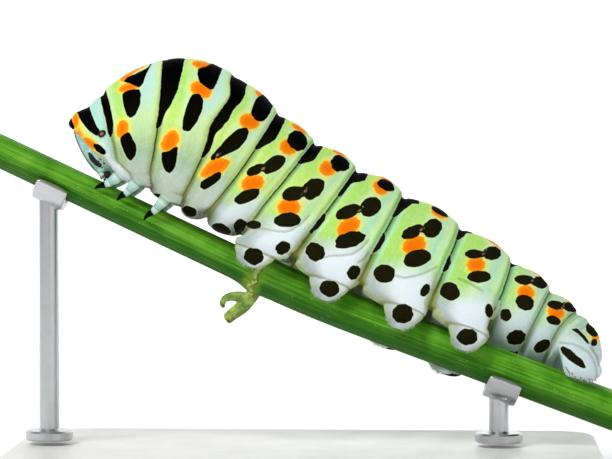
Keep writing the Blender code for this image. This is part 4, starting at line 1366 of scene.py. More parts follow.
def ball_at(name, centre, axes, rings=16):
    """A ball with three half axes about a point, still unposed."""
    piece = newly_made(name, uv_sphere, segments=2 * rings, ring_count=rings, radius=1.0)
    shape(piece, centre + corners(piece) @ np.array(axes))
    close_up(piece, BALL_WELD)
    return piece


def square_to(way):
    """Two ways that are square to one another and to the given one."""
    first = unit(np.cross(way, down if abs(way @ down) < 0.9 else out))
    return first, np.cross(way, first)


def place_on_larva(piece, *nodes, slot):
    """Poses a finished piece with the body and lets it stand for these nodes."""
    shape(piece, on_larva(corners(piece)))
    close_up(piece, POSED_WELD)
    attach(piece, "root")
    if nodes:
        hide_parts(*nodes)


def join_all(name, pieces):
    only(*pieces)
    bpy.ops.object.join()
    joined_piece = bpy.context.object
    joined_piece.name = joined_piece.data.name = name
    return joined_piece


SIDES = ((-1.0, "left"), (1.0, "right"))
eyes = []
for side, word in SIDES:
    beads = []
    for i in range(EYE_BEADS):
        bearing = math.radians(EYE_ARC_FROM + EYE_ARC * i / (EYE_BEADS - 1))
        away = EYE_RADIUS * (ON_ARC if i < EYE_BEADS - 1 else OFF_ARC)
        below, outward = EYE_AT[0] + away * math.cos(bearing), EYE_AT[1] + away * math.sin(bearing)
        spot, normal = on_cheek(below, outward, side)
        first, second = square_to(normal)
        size = EYE_BEAD * (1.0 - EYE_SHRINK * i)
        beads.append(ball_at("bead", spot, (first * size, second * size, normal * size * EYE_FLAT), 12))
    cluster = join_all(f"eyes_{word}", beads)
    place_on_larva(cluster, f"eye_{word}", slot="eye")
    eyes.append(cluster)
print("eyes:", len(eyes), "clusters of", EYE_BEADS)

# %% The feelers
# share of the length, share of the radius
FEELER_ROWS = (
    (-0.25, 1.02), (0.00, 1.04), (0.14, 1.00), (0.19, 0.84), (0.24, 0.72), (0.40, 0.74), (0.55, 0.70),
    (0.60, 0.56), (0.64, 0.42), (0.80, 0.42), (0.90, 0.36), (0.95, 0.22), (1.00, 0.14), (1.03, 0.02),
)
# How far a feeler leans towards the mouth
FEELER_LEAN = 0.8

feelers = []
for side, word in SIDES:
    spot, normal = on_cheek(*ANTENNA_AT, side)
    way = unit(normal + down * FEELER_LEAN)
    rows = []
    for far, wide in FEELER_ROWS:
        rows.append((*(spot + way * ANTENNA_LENGTH * far), ANTENNA_RADIUS * wide, ANTENNA_RADIUS * wide))
    feeler = limb_tube(f"feeler_{word}", 90, 28, rows, square_to(way)[0], notes=reach_note)
    place_on_larva(feeler, f"antenna_{word}", slot="head_shell")
    feelers.append(feeler)
print("feelers:", len(feelers))

# %% The jaws and the lips
JAW_ROWS = (
    (1.45, 0.50, 0.62, 0.30, 0.42), (1.75, 0.60, 0.60, 0.34, 0.40), (2.00, 0.62, 0.48, 0.30, 0.34),
    (2.20, 0.60, 0.30, 0.20, 0.26), (2.30, 0.58, 0.16, 0.10, 0.16), (2.34, 0.56, 0.10, 0.01, 0.01),
)
TEETH, TOOTH_DEPTH = 4, 0.05
# Where the lips are, down and out from the head's middle, and their half axes
UPPER_LIP, LOWER_LIP = (1.62, 1.02, 0.0), (2.02, 0.12, 0.0)
UPPER_HALF, LOWER_HALF = (0.34, 0.22, 0.62), (0.22, 0.30, 0.34)
LIP_NOTCH, NOTCH_WIDE = 0.10, 0.14


def from_mouth(down_mm, out_mm, side_mm):
    return np.array(HEAD_CENTRE) + down * down_mm + out * out_mm + sideways * side_mm


def jaw_points(side, share, angle):
    rows = [(*from_mouth(d, o, side * y), wide, thick) for d, o, y, wide, thick in JAW_ROWS]
    spots_here = oval_tube(rows, share, angle, out)
    biting = ease(0.45, 1.0, share) * np.clip(np.cos(angle), 0.0, 1.0)
    return spots_here - down * (TOOTH_DEPTH * biting * np.cos(angle * TEETH * 2.0) ** 2)[:, None]


pair = []
for side, _ in SIDES:
    pair.append(rolled_sheet("jaw", 40, 40, lambda s, a: jaw_points(side, s, a), LIMB_WELD))
jaws = join_all("jaws_closed", pair)
place_on_larva(jaws, "jaws", slot="jaw")
head_ways = np.array((down, out, sideways))
upper_lip, lower_lip = (
    ball_at("lip", from_mouth(*at), head_ways * np.array(half)[:, None])
    for at, half in ((UPPER_LIP, UPPER_HALF), (LOWER_LIP, LOWER_HALF))
)
lip = corners(upper_lip)
notch = bell(lip[:, 1], NOTCH_WIDE) * ease(-0.1, 0.3, (lip - from_mouth(*UPPER_LIP)) @ down)
shape(upper_lip, lip - down * (LIP_NOTCH * notch)[:, None])
lips = join_all("lips", [upper_lip, lower_lip])
place_on_larva(lips, slot="head_shell")
print("jaws and lips are in place")

# %% [markdown]
# The capsule's finish is satin like a fingernail, pale blue-green and finely pitted, darker round
# the mouth. The eyes are glossy black glass, the jaws dark brown horn with a pale root.

# %% The head's finishes
SHELL_BLUE, SHELL_PALE, SHELL_GREEN = screen(150, 204, 196), screen(206, 230, 222), screen(128, 178, 150)
FEELER_RING, FEELER_DARK, FEELER_TIP = screen(96, 120, 104), screen(70, 76, 60), screen(34, 30, 22)

p = Paint("head shell", roughness=0.34, specular=0.3)
patches = p.noise(0.45, 3.0)
colour = p.coats(
    SHELL_BLUE,
    (p.ramp(patches, 0.35, 0.7), SHELL_PALE),
    (p.ramp(p.read("down"), 0.2, 0.9, 0.0, 0.6), SHELL_GREEN),
    (p.ramp(p.read("smudge"), -0.12, 0.05, 0.0, 0.9), BROWN_BLACK),
    (p.ramp(p.plus(p.read("black"), p.times(patches, 0.08)), 0.0, 0.04), JET),
)
dress(head, p.finish(colour, p.ramp(patches, 0.2, 0.8, 0.28, 0.42), p.relief(p.cells(0.10), 0.012)))
p.glow_through(0.06, 0.4, 1.0, 0.9, 0.7)
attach(head, "root")
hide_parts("head")

p = Paint("eye glass", roughness=0.06, specular=0.6)
eye_paint = p.finish(p.blend(p.noise(0.12), screen(6, 6, 7), screen(22, 16, 12)))
for piece in eyes:
    dress(piece, eye_paint)

p = Paint("feeler skin", roughness=0.38, specular=0.3)
joints = p.stripes(
    p.read("reach"), (0.0, SHELL_BLUE), (0.26, SHELL_PALE), (0.34, FEELER_RING), (0.42, SHELL_PALE),
    (0.58, SHELL_PALE), (0.70, FEELER_DARK), (1.0, FEELER_TIP)
)
colour = p.blend(p.ramp(p.noise(0.15), 0.4, 0.7, 0.0, 0.4), joints, SHELL_BLUE)
feeler_paint = p.finish(colour, None, p.relief(p.cells(0.07), 0.008))
for piece in feelers:
    dress(piece, feeler_paint)

p = Paint("jaw horn", roughness=0.24, specular=0.5)
colour = p.blend(p.noise(0.3), screen(18, 14, 9), screen(70, 46, 22))
dress(jaws, p.finish(colour, None, p.relief(p.noise(0.12), 0.01)))
dress(lips, horn("lip shell", 0.3, 0.4, (0.25, 0.4, 0.65), SHELL_PALE, screen(176, 168, 96), (0.1, 0.01)))
print("the head is finished")

# %% [markdown]
# The last pair of feet clasps the stem with a row of tiny hooks. They are brown horn, like the
# claws, and show along the foot's lower edge.

# %% The claspers' hooks
# t and height along the edge as it shows from the side
HOOK_EDGE = ((43.25, 1.42), (43.50, 1.22), (44.00, 1.10), (44.60, 1.12), (45.20, 1.22), (45.55, 1.30))
HOOKS, HOOK_RADIUS, HOOK_TIP = 10, 0.05, 0.01
HOOK_SWAY, HOOK_STAGGER, HOOKS_FACING = 0.3, 0.06, 0.1
# A hook's root, bend and tip from its spot on the skin: along the stem, outwards and up
HOOK_BEND = ((0.0, -0.06, 0.14), (0.06, 0.14, -0.06), (0.16, 0.02, -0.18))


def bent_line(root, knee, tip, share):
    """A point of the smooth curve from root to tip that is drawn towards the knee."""
    return mix(mix(root, knee, share), mix(knee, tip, share), share)


def left_corner(t, h, least_facing):
    """The left flank's corner that shows nearest to a place, on skin that faces its side."""
    hidden = 1.0 * (facing < least_facing) + (flat_spots[:, 1] > 0.0)
    return int(np.argmin(np.hypot(seen_t - t, seen_h - h) + FAR_OFF * hidden))


hooks = []
for k in range(HOOKS):
    sway = draw.uniform(-HOOK_SWAY, HOOK_SWAY)
    t, h = flow(HOOK_EDGE, np.array(((k + sway) / (HOOKS - 1),)))[0]
    root = flat_spots[left_corner(t, h + HOOK_STAGGER * (k % 2), HOOKS_FACING)]
    for side, _ in SIDES:
        bend = [root * (1.0, -side, 1.0) + (t, side * y, h) for t, y, h in HOOK_BEND]
        rows = []
        for s in np.linspace(0.0, 1.0, 6):
            radius = HOOK_RADIUS * (1.0 - s) + HOOK_TIP
            rows.append((*bent_line(*bend, s), radius, radius))
        hooks.append(limb_tube("hook", 8, 7, rows, ALONG_STEM))
clasper_hooks = join_all("clasper_hooks", hooks)
shape(clasper_hooks, on_larva(corners(clasper_hooks)))
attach(clasper_hooks, "root")
browns = screen(150, 116, 66), screen(104, 74, 36)
dress(clasper_hooks, horn("hook horn", 0.3, 0.4, (0.3, 0.4, 0.7), *browns, (0.1, 0.004)))
print("hooks:", len(hooks))

# %% [markdown]
# The larva breathes through a row of oval pores along each flank, one in the collar and one in
# each of the first eight segments of its abdomen. A pore is a slit with a raised horny rim. They
# are far smaller than the skin's corners, so each is a ring and a slit of its own, set on the skin
# where the view shows it and mirrored to the other flank.

# %% The breathing pores
PORE_RIM, PORE_LEAN, PORES_FACING = 0.032, math.radians(25.0), 0.2
# How much thicker the rim of the collar's pore is
COLLAR_RIM = 2.2
# The slit's half axes as shares of the pore's, its thickness, and how deep it lies
SLIT_WIDE, SLIT_TALL, SLIT_THICK, SLIT_DEEP = 0.8, 0.9, 0.035, 0.01

torus = bpy.ops.mesh.primitive_torus_add
rims, slits = [], []
for number, (t, h, tall, wide) in enumerate(PORES):
    corner = left_corner(t, h, PORES_FACING)
    rim_thick = PORE_RIM * (COLLAR_RIM if number == 0 else 1.0)
    for mirror in ((1.0, 1.0, 1.0), (1.0, -1.0, 1.0)):
        spot, way = flat_spots[corner] * mirror, flat_ways[corner] * mirror
        up = np.array((math.sin(PORE_LEAN), 0.0, math.cos(PORE_LEAN)))
        up = unit(up - way * (up @ way))
        ahead = np.cross(up, way)
        sizes = {"major_segments": 28, "minor_segments": 10, "minor_radius": rim_thick / wide}
        rim = newly_made("rim", torus, major_radius=1.0, **sizes)
        shape(rim, spot + corners(rim) @ np.array((ahead * wide, up * tall, way * wide)))
        rims.append(rim)
        axes = (ahead * wide * SLIT_WIDE, up * tall * SLIT_TALL, way * SLIT_THICK)
        slits.append(ball_at("slit", spot - way * SLIT_DEEP, axes, 8))
pore_rims, pore_slits = join_all("pore_rims", rims), join_all("pore_slits", slits)
for piece in (pore_rims, pore_slits):
    shape(piece, on_larva(corners(piece)))
    only(piece)
    bpy.ops.object.shade_smooth()
    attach(piece, "root")
dress(pore_rims, horn("pore rim", 0.3, 0.4, (0.1, 0.5, 0.75), JET, screen(40, 22, 8), (0.05, 0.004)))
browns = screen(196, 140, 76), screen(104, 60, 24)
dress(pore_slits, horn("pore slit", 0.4, 0.3, (0.09, 0.42, 0.6), *browns, (0.05, 0.006)))
print("pores:", len(rims))

# %% [markdown]
# A fringe of short pale hairs stands along the lower edge of every fleshy foot. A hair is a thin
# bent spike of a few faces. All of them are one mesh, rooted on the skin's corners, and each keeps
# its root's place on the unwrapped body and the root's markings.

# %% The feet's hairs
FRINGE_FROM, FRINGE_TO, FRINGE_SHARE, FRINGE_LONG, FRINGE_OFF_BLACK = 0.80, 0.94, 0.95, 0.14, -0.12
HAIR_RADIUS, HAIR_SIDES, HAIR_LENGTHS, HAIR_STRAY = 0.016, 4, (0.6, 1.15), 0.08
# On the unwrapped body: the empty edge of the map, and the width of one hair's patch
MAP_EDGE, HAIR_PATCH = 0.02, 0.003
# share of the length, share of the radius, how far it hangs
HAIR_ROWS = ((-0.10, 1.0, 0.0), (0.45, 0.75, 0.10), (0.80, 0.45, 0.32))
HAIR_TIP_BEND, HAIR_LEAN, UPWARDS = 0.55, 0.25, np.array((0.0, 0.0, 1.0))

at_edge = on_limb & (segment > 3) & (reach > FRINGE_FROM) & (reach < FRINGE_TO)
foot_corners = np.flatnonzero(at_edge & (marks[BLACK] < FRINGE_OFF_BLACK))
roots = draw.choice(foot_corners, int(len(foot_corners) * FRINGE_SHARE), replace=False)
long = FRINGE_LONG * draw.uniform(*HAIR_LENGTHS, len(roots))[:, None]
ways = unit(flat_ways[roots] + draw.normal(0.0, HAIR_STRAY, (len(roots), 3)) - UPWARDS * HAIR_LEAN)
across_way = unit(np.cross(ways, draw.normal(0.0, 1.0, (len(roots), 3))))
other_way = np.cross(ways, across_way)
rings = []
for far, wide, bend in HAIR_ROWS:
    middle = flat_spots[roots] + ways * long * far - UPWARDS * long * bend
    for i in range(HAIR_SIDES):
        turn = 2.0 * math.pi * i / HAIR_SIDES
        ring_way = across_way * math.cos(turn) + other_way * math.sin(turn)
        rings.append(middle + ring_way * HAIR_RADIUS * wide)
tips = flat_spots[roots] + ways * long - UPWARDS * long * HAIR_TIP_BEND
hair_spots = np.stack((*rings, tips), axis=1).reshape(-1, 3)
each = len(HAIR_ROWS) * HAIR_SIDES + 1
# Of one hair: the side faces between two rings, and the faces from the last ring to the tip
one_hair = []
for i in range(HAIR_SIDES):
    following = (i + 1) % HAIR_SIDES
    for ring in range(0, each - 1 - HAIR_SIDES, HAIR_SIDES):
        upper_ring = ring + HAIR_SIDES
        one_hair.append((ring + i, ring + following, upper_ring + following, upper_ring + i))
    one_hair.append((upper_ring + i, upper_ring + following, each - 1))
faces = [tuple(k * each + v for v in face) for k in range(len(roots)) for face in one_hair]
mesh = bpy.data.meshes.new("foot_hairs")
mesh.from_pydata(on_larva(hair_spots).tolist(), [], faces)
mesh.update()
hairs = bpy.data.objects.new("foot_hairs", mesh)
bpy.context.scene.collection.objects.link(hairs)
unwrapped = mesh.uv_layers.new(name="OFBake")
corner_of = np.empty(len(mesh.loops), dtype=int)
mesh.loops.foreach_get("vertex_index", corner_of)
root_of, part_of = corner_of // each, corner_of % each
round_it = angle[roots] / (2.0 * np.pi)
round_it = np.where(flat_spots[roots, 1] > 0.0, 1.0 - round_it, round_it)
middles = MAP_EDGE + (1.0 - 2.0 * MAP_EDGE) * np.stack((place[roots] / SEGMENTS, round_it), axis=1)
turn = 2.0 * np.pi * (part_of % HAIR_SIDES) / HAIR_SIDES
patch = np.stack((np.cos(turn), np.sin(turn)), axis=1) * (HAIR_PATCH / 2.0 * (1.0 - part_of / each))[:, None]
unwrapped.data.foreach_set("uv", (middles[root_of] + patch).ravel().astype(np.float32))
note(hairs, "black", np.repeat(marks[BLACK][roots], each))
note(hairs, "tip", np.tile(np.arange(each) / each, len(roots)))
only(hairs)
bpy.ops.object.mode_set(mode="EDIT")
bpy.ops.mesh.select_all(action="SELECT")
bpy.ops.mesh.normals_make_consistent(inside=False)
bpy.ops.object.mode_set(mode="OBJECT")
bpy.ops.object.shade_smooth()
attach(hairs, "root")
p = Paint("hair", roughness=0.35, specular=0.4)
pale_hair = p.blend(p.ramp(p.noise(0.4), 0.3, 0.7), screen(216, 222, 214), screen(186, 194, 182))
colour = p.blend(p.ramp(p.read("black"), -0.03, 0.0), pale_hair, screen(60, 54, 46))
dress(hairs, p.finish(p.blend(p.ramp(p.read("tip"), 0.2, 1.0, 0.0, 0.5), colour, screen(246, 248, 244))))
print("hairs:", len(roots), "with", len(faces), "faces")

# %% [markdown]
# A walking leg is a short cone of three hard joints with soft rings between them, and ends in one
# curved black claw. It bends forwards and holds on by the claw. Each is a rolled sheet along a
# curve from root to tip, and the claw is a piece of its own, as it is horn and not skin.

# %% The walking legs and their claws
# share of the way from root to tip, radius in millimetres
LEG_FORM = (
    (0.00, 0.50), (0.20, 0.49), (0.30, 0.455), (0.36, 0.425), (0.41, 0.42), (0.50, 0.365), (0.57, 0.315),
    (0.61, 0.30), (0.68, 0.275), (0.74, 0.235), (0.78, 0.19), (0.81, 0.14), (0.83, 0.05),
)
LEG_END, LEG_FLAT = 0.83, 0.92
CLAW_FROM, CLAW_RADIUS, CLAW_CURL, CLAW_FLAT, CLAW_TIP = 0.735, 0.245, 0.18, 0.85, 0.015


legs = []
for side, word in SIDES:
    for number, spots_here in enumerate(LEGS, start=1):
        bend = [np.array((t, side * y, h)) for t, y, h in spots_here]
        steps = np.linspace(0.0, LEG_END, 46)
        widths = np.interp(steps, *zip(*LEG_FORM))
        rows = [(*bent_line(*bend, s), r, r * LEG_FLAT) for s, r in zip(steps, widths)]
        leg = limb_tube(f"leg_horn_{word}_{number}", 70, 30, rows, ALONG_STEM, notes=reach_note)
        rows = []
        for s in np.linspace(0.0, 1.0, 8):
            t, y, h = bent_line(*bend, mix(CLAW_FROM, 1.0, s))
            radius = CLAW_RADIUS * (1.0 - s) ** 0.8 + CLAW_TIP
            rows.append((t - CLAW_CURL * s * (1.0 - s) * 2.0, y, h, radius, radius * CLAW_FLAT))
        claw = limb_tube(f"claw_{word}_{number}", 24, 20, rows, ALONG_STEM)
        place_on_larva(leg, f"leg_{word}_{number}", slot="leg")
        place_on_larva(claw, slot="leg")
        legs.append((leg, claw))
print("legs:", len(legs))

# %% [markdown]
# The joints are pale blue-green horn that lets some light through, dark where a soft ring folds
# in, and the claws are black with a brown root.

# %% The legs' finishes
LEG_PALE, LEG_BLUE, LEG_JOINT = screen(208, 230, 222), screen(164, 202, 196), screen(150, 174, 148)

p = Paint("leg horn", roughness=0.34, specular=0.3)
joints = p.stripes(
    p.read("reach"), (0.0, LEG_PALE), (0.38, LEG_PALE), (0.45, LEG_JOINT), (0.52, LEG_PALE),
    (0.68, LEG_BLUE), (0.74, LEG_JOINT), (0.78, LEG_PALE), (0.90, LEG_BLUE)
)
colour = p.blend(p.ramp(p.noise(0.3), 0.35, 0.7, 0.0, 0.5), joints, LEG_BLUE)
leg_paint = p.finish(colour, None, p.relief(p.cells(0.10), 0.012))
p.glow_through(0.10, 0.4, 1.0, 0.9, 0.6)
claw_paint = horn("claw horn", 0.4, 0.08, (0.4, 0.5, 0.8), JET, screen(16, 11, 6), (0.1, 0.006))
for leg, claw in legs:
    dress(leg, leg_paint)
    dress(claw, claw_paint)
print("the legs are finished")

# %% [markdown]
# The perch is a cut length of fennel stem, round and finely ribbed, with a thickened joint where a
# cut side shoot hangs. The cut ends show a pale pith. The sheet is rolled up like the limbs, but it
# follows the stem's own line and isn't turned with the body.

# %% The stem
STEM_CUT_HIGH, STEM_CUT_LOW = -0.6, 48.0
STEM_RADIUS_HIGH, STEM_RADIUS_LOW = 1.14, 1.37
STEM_RIBS, STEM_RIB_DEPTH, FINE_RIB_DEPTH = 11, 0.05, 0.012
JOINT_AT, JOINT_WIDTH, JOINT_SWELL = 20.4, 0.7, 0.17
SCAR_DEPTH, SCAR_WAVE, SCAR_WIDE = 0.06, 0.12, 0.10
CUT_EDGE, CUT_ROWS, STEM_ROWS, STEM_AROUND = 0.05, 8, 320, 132


def stem_radius(t):
    plain = mix(STEM_RADIUS_HIGH, STEM_RADIUS_LOW, ease(JOINT_AT - 2.0, JOINT_AT + 1.0, t))
    return plain + JOINT_SWELL * bell(t - JOINT_AT, JOINT_WIDTH)


def stem_row(share):
    """Of a row of the sheet: its t along the stem, and how many rows it is from an end."""
    row = share * STEM_ROWS
    down_stem = np.clip((row - CUT_ROWS) / (STEM_ROWS - 2 * CUT_ROWS), 0.0, 1.0)
    return mix(STEM_CUT_HIGH, STEM_CUT_LOW, down_stem), np.minimum(row, STEM_ROWS - row)


def stem_points(share, angle):
    """The outside of the stem, with a flat cut at both ends that closes on its middle line."""
    t, from_end = stem_row(share)
    inward = np.clip(from_end / CUT_ROWS, 0.02, 1.0)
    ribs = STEM_RIB_DEPTH * 0.5 * np.cos(STEM_RIBS * angle) * (0.75 + 0.25 * np.sin(1.7 * angle + 0.12 * t))
    ribs = ribs + FINE_RIB_DEPTH * np.cos(3 * STEM_RIBS * angle + 0.7)
    radius = (stem_radius(t) + ribs - CUT_EDGE * (from_end < CUT_ROWS)) * inward
    scar = SCAR_DEPTH * bell(t - JOINT_AT - SCAR_WAVE * np.sin(3.0 * angle), SCAR_WIDE)
    radius = radius - scar * (from_end >= CUT_ROWS)
    return np.column_stack((t, radius * np.sin(angle), radius * np.cos(angle)))


def stem_notes(share, angle):
    t, from_end = stem_row(share)
    cut = np.maximum(1.0 - from_end / CUT_ROWS, 0.0)
    return {"cut": cut, "along": t, "angle": np.sin(angle), "height": np.cos(angle)}


stem = rolled_sheet("fennel_stem", STEM_ROWS, STEM_AROUND, stem_points, notes=stem_notes)
shape(stem, on_stem(corners(stem)))
close_up(stem, POSED_WELD)
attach(stem, "root")
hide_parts("perch_stem")
print("the stem is", round(STEM_CUT_LOW - STEM_CUT_HIGH, 1), "mm long")

# %% The side shoot
SHOOT_STALK = (
    (20.75, 0.0, -0.90, 0.50, 0.50), (20.60, 0.0, -1.80, 0.50, 0.46), (20.35, 0.0, -2.60, 0.52, 0.42),
    (19.95, 0.0, -3.40, 0.46, 0.36), (19.75, 0.0, -3.90, 0.40, 0.28), (19.70, 0.0, -4.00, 0.22, 0.16),
)
SHOOT_HOOK = (
    (20.60, 0.0, -1.95, 0.34, 0.34), (19.95, 0.0, -2.05, 0.40, 0.36), (19.35, 0.0, -2.30, 0.34, 0.30),
    (18.98, 0.0, -2.72, 0.26, 0.26), (19.05, 0.0, -3.12, 0.20, 0.22), (19.28, 0.0, -3.20, 0.10, 0.12),
)
SHOOT_GRAIN, SHOOT_WELT, SHOOT_CHANNEL, CHANNEL_WIDE = 0.05, 0.05, 0.22, 0.5


def shoot_points(rows, share, angle):
    """A stalk with a channel along its inner side, as a leaf's base has."""
    spots_here = oval_tube(rows, share, angle, (1.0, 0.0, -0.3))
    middle_here = flow(rows, share)[:, :3]
    channel = SHOOT_CHANNEL * bell(angle - np.pi, CHANNEL_WIDE) * ease(0.1, 0.4, share)
    welt = 1.0 + SHOOT_WELT * np.cos(7.0 * angle) - channel
    return middle_here + (spots_here - middle_here) * welt[:, None]


pair = []
for rows in (SHOOT_STALK, SHOOT_HOOK):
    pair.append(rolled_sheet("shoot", 60, 48, lambda s, a: shoot_points(rows, s, a), LIMB_WELD))
shoot = join_all("side_shoot", pair)
changed(shoot, "REMESH", mode="VOXEL", voxel_size=SHOOT_GRAIN)
changed(shoot, "SMOOTH", iterations=4)
shoot_flat = corners(shoot)
hook_tip = ease(-2.6, -3.3, shoot_flat[:, 2]) * ease(19.6, 19.2, shoot_flat[:, 0])
note(shoot, "tip", np.maximum(hook_tip, ease(-3.85, -4.0, shoot_flat[:, 2])))
shape(shoot, on_stem(shoot_flat))
close_up(shoot, POSED_WELD)
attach(shoot, "root")
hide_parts("perch_shoot")
print("the shoot has", len(shoot_flat), "corners")

# %% [markdown]
# The stem's rind is waxy and deep green with fine pale streaks along it, partly painted highlights
# on its ribs, and small pale flecks, and painted shade darkens it towards its underside. Its
# joint has a scar ring of straw and brown. The shoot is yellow-green, and its curled tip is dry.

# %% The stem's finishes
STEM_DEEP, STEM_MID, STEM_FRESH = screen(24, 84, 2), screen(76, 148, 22), screen(120, 188, 56)
STREAK, STRAW, DRY = screen(176, 216, 120), screen(196, 206, 128), screen(84, 92, 30)
STEM_JOINT, RUST = screen(128, 164, 44), screen(122, 66, 34)
PITH_PALE, PITH_GREEN = screen(214, 226, 176), screen(168, 190, 110)
SHOOT_GREEN, SHOOT_PALE = screen(96, 132, 44), screen(168, 196, 92)

p = Paint("stem rind", roughness=0.4, specular=0.14)
along, height = p.read("along"), p.read("height")
streaky = p.vector(p.times(along, 0.12), p.times(p.read("angle"), 6.0), p.times(height, 6.0))
streaks, fine_streaks = p.noise(1.0, 4.0, streaky, 0.6), p.noise(0.3, 3.0, streaky, 0.7)
mixed = p.plus(p.times(streaks, 0.6), p.times(p.noise(1.6, 3.0), 0.4))
# Painted shade: the rind darkens towards its underside
lower = p.plus(height, p.swing(streaks, 0.8))
fleck = p.times(p.ramp(p.cells(0.34), 0.17, 0.05), p.ramp(p.noise(1.0), 0.48, 0.58))
off_joint = p.maths("SUBTRACT", along, p.plus(JOINT_AT - 0.5, p.times(p.noise(0.7, 4.0), 0.9)))
near_joint, behind_joint = p.off(off_joint, 0.0), p.off(off_joint, 0.24)
ring = p.times(p.ramp(near_joint, 0.26, 0.14), p.ramp(p.noise(0.3, 4.0), 0.40, 0.54))
scar = p.times(p.ramp(behind_joint, 0.12, 0.05), p.ramp(p.noise(0.5, 3.0), 0.44, 0.52))
pith = p.blend(p.ramp(p.cells(0.16), 0.2, 0.6), PITH_PALE, PITH_GREEN)
colour = p.coats(
    STEM_MID,
    (p.ramp(mixed, 0.40, 0.72), STEM_FRESH),
    (p.ramp(mixed, 0.5, 0.34, 0.0, 0.5), STEM_DEEP),
    (p.ramp(lower, 0.30, -0.55, 0.0, 0.85), STEM_DEEP),
    # The pale streaks are partly the rind's own and partly painted highlights along its ribs
    (p.ramp(fine_streaks, 0.60, 0.76, 0.0, 0.4), STREAK),
    (p.times(fleck, 0.6), STREAK),
    (p.ramp(near_joint, 0.95, 0.35, 0.0, 0.6), STEM_JOINT),
    (p.times(ring, 0.75), STRAW),
    (p.times(scar, 0.8), DRY),
    (p.ramp(p.read("cut"), 0.10, 0.30), pith),
)
ribbed = p.relief(p.noise(0.5, 3.0, streaky, 0.6), 0.05)
dress(stem, p.finish(colour, p.ramp(streaks, 0.3, 0.7, 0.30, 0.46), p.relief(p.cells(0.2), 0.01, ribbed)))

p = Paint("shoot rind", roughness=0.42, specular=0.3)
rusty = p.times(p.ramp(p.noise(0.35), 0.54, 0.62), p.ramp(p.noise(1.6), 0.48, 0.60, 0.0, 0.8))
dry = p.plus(p.read("tip"), p.swing(p.noise(0.3), 0.8))
colour = p.coats(
    SHOOT_GREEN,
    (p.ramp(p.noise(0.7), 0.35, 0.65), SHOOT_PALE),
    (p.ramp(p.noise(0.25), 0.58, 0.72, 0.0, 0.5), STRAW),
    (rusty, RUST),
    (p.ramp(dry, 0.3, 0.7, 0.0, 0.8), DRY),
)
dress(shoot, p.finish(colour, None, p.relief(p.noise(0.18), 0.04)))
print("the stem and its shoot are finished")

# %% [markdown]
# The stand isn't in the photograph. It is a small painted board with two bright steel rods, as a
# museum would make it. The board's shape comes from the frame, with a finer edge. A rod is one
# turned bar with a round foot, and a bent strip at its top that cradles the stem from below.

# %% The board
EASED, SHARP = 0.10, math.radians(40.0)

only(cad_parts["stand_base"])
bpy.ops.object.duplicate()
board = bpy.context.object
board.name = board.data.name = "stand_board"
bpy.ops.object.transform_apply(location=True, rotation=True, scale=True)
changed(board, "BEVEL", width=EASED * MM, segments=3, limit_method="ANGLE", angle_limit=SHARP)
bpy.ops.object.shade_smooth_by_angle(angle=math.radians(42.0))
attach(board, "root")
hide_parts("stand_base")
print("board:", [round(v / MM, 1) for v in board.dimensions], "mm")

# %% The rods
# The foot stands the gap of 0.3 mm above the board, and the cradle the same gap off the stem
FOOT_BOTTOM, GAP = 2.8, 0.3
ROD_RADIUS, FOOT_RADIUS, FOOT_THICK, FOOT_EASE = 0.7, 1.7, 0.7, 0.12
CRADLE_LENGTH, CRADLE_WALL, CRADLE_HUG, CRADLE_END = 2.4, 0.55, 78.0, 0.04
EDGE_SQUARE = 0.25
# Each rod's name, and the place along the stem that it holds
RODS = (("high", 4.6), ("low", 39.6))


def turned_bar(share, angle, at, top):
    """The bar and its foot as a lathe would leave them, from radii and heights over the foot."""
    outline = np.array((
        (0.0, 0.0), (FOOT_RADIUS - FOOT_EASE, 0.0), (FOOT_RADIUS, FOOT_EASE),
        (FOOT_RADIUS, FOOT_THICK - FOOT_EASE), (FOOT_RADIUS - FOOT_EASE, FOOT_THICK),
        (ROD_RADIUS + FOOT_EASE, FOOT_THICK), (ROD_RADIUS, FOOT_THICK + FOOT_EASE),
        (ROD_RADIUS, top - FOOT_BOTTOM), (0.0, top - FOOT_BOTTOM),
    ))
    corner = share * (len(outline) - 1)
    radius, height = (np.interp(corner, np.arange(len(outline)), outline[:, i]) for i in (0, 1))
    x = at + radius * np.cos(angle)
    return np.column_stack((x, radius * np.sin(angle), FOOT_BOTTOM + height)) * MM


def cradle(share, angle, at):
    """A strip with rounded edges, bent round the stem's underside."""
    from_end = np.clip(np.minimum(share, 1.0 - share) / CRADLE_END, 0.0, 1.0)
    full = np.sqrt(1.0 - (1.0 - from_end) ** 2)
    t = at + CRADLE_LENGTH / 2.0 * squared(np.cos(angle), EDGE_SQUARE) * full
    in_wall = 0.5 + 0.5 * squared(np.sin(angle), EDGE_SQUARE) * full
    radius = stem_radius(at) + GAP + CRADLE_WALL * in_wall
    hug = np.radians(CRADLE_HUG) * (2.0 * share - 1.0)
    return on_stem(np.column_stack((t, radius * np.sin(hug), -radius * np.cos(hug))))


rods = []
for word, at in RODS:
    top = on_stem(np.array([(at, 0.0, -stem_radius(at) - GAP - CRADLE_WALL / 2.0)]))[0] / MM
    bar = rolled_sheet(f"stand_bar_{word}", 32, 96, lambda s, a: turned_bar(s, a, top[0], top[2]))
    strip = rolled_sheet("cradle", 90, 32, lambda s, a: cradle(s, a, at))
    changed(bar, "BOOLEAN", operation="UNION", solver="EXACT", object=strip)
    bpy.data.objects.remove(strip)
    bpy.ops.object.shade_smooth_by_angle(angle=SHARP)
    changed(bar, "WEIGHTED_NORMAL", keep_sharp=True)
    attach(bar, "root")
    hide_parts(f"stand_rod_{word}")
    rods.append(bar)
    print(bar.name, "has", len(bar.data.polygons), "faces")

# %% [markdown]
# The board has a lightly uneven coat of paint, and the rods are brushed round.

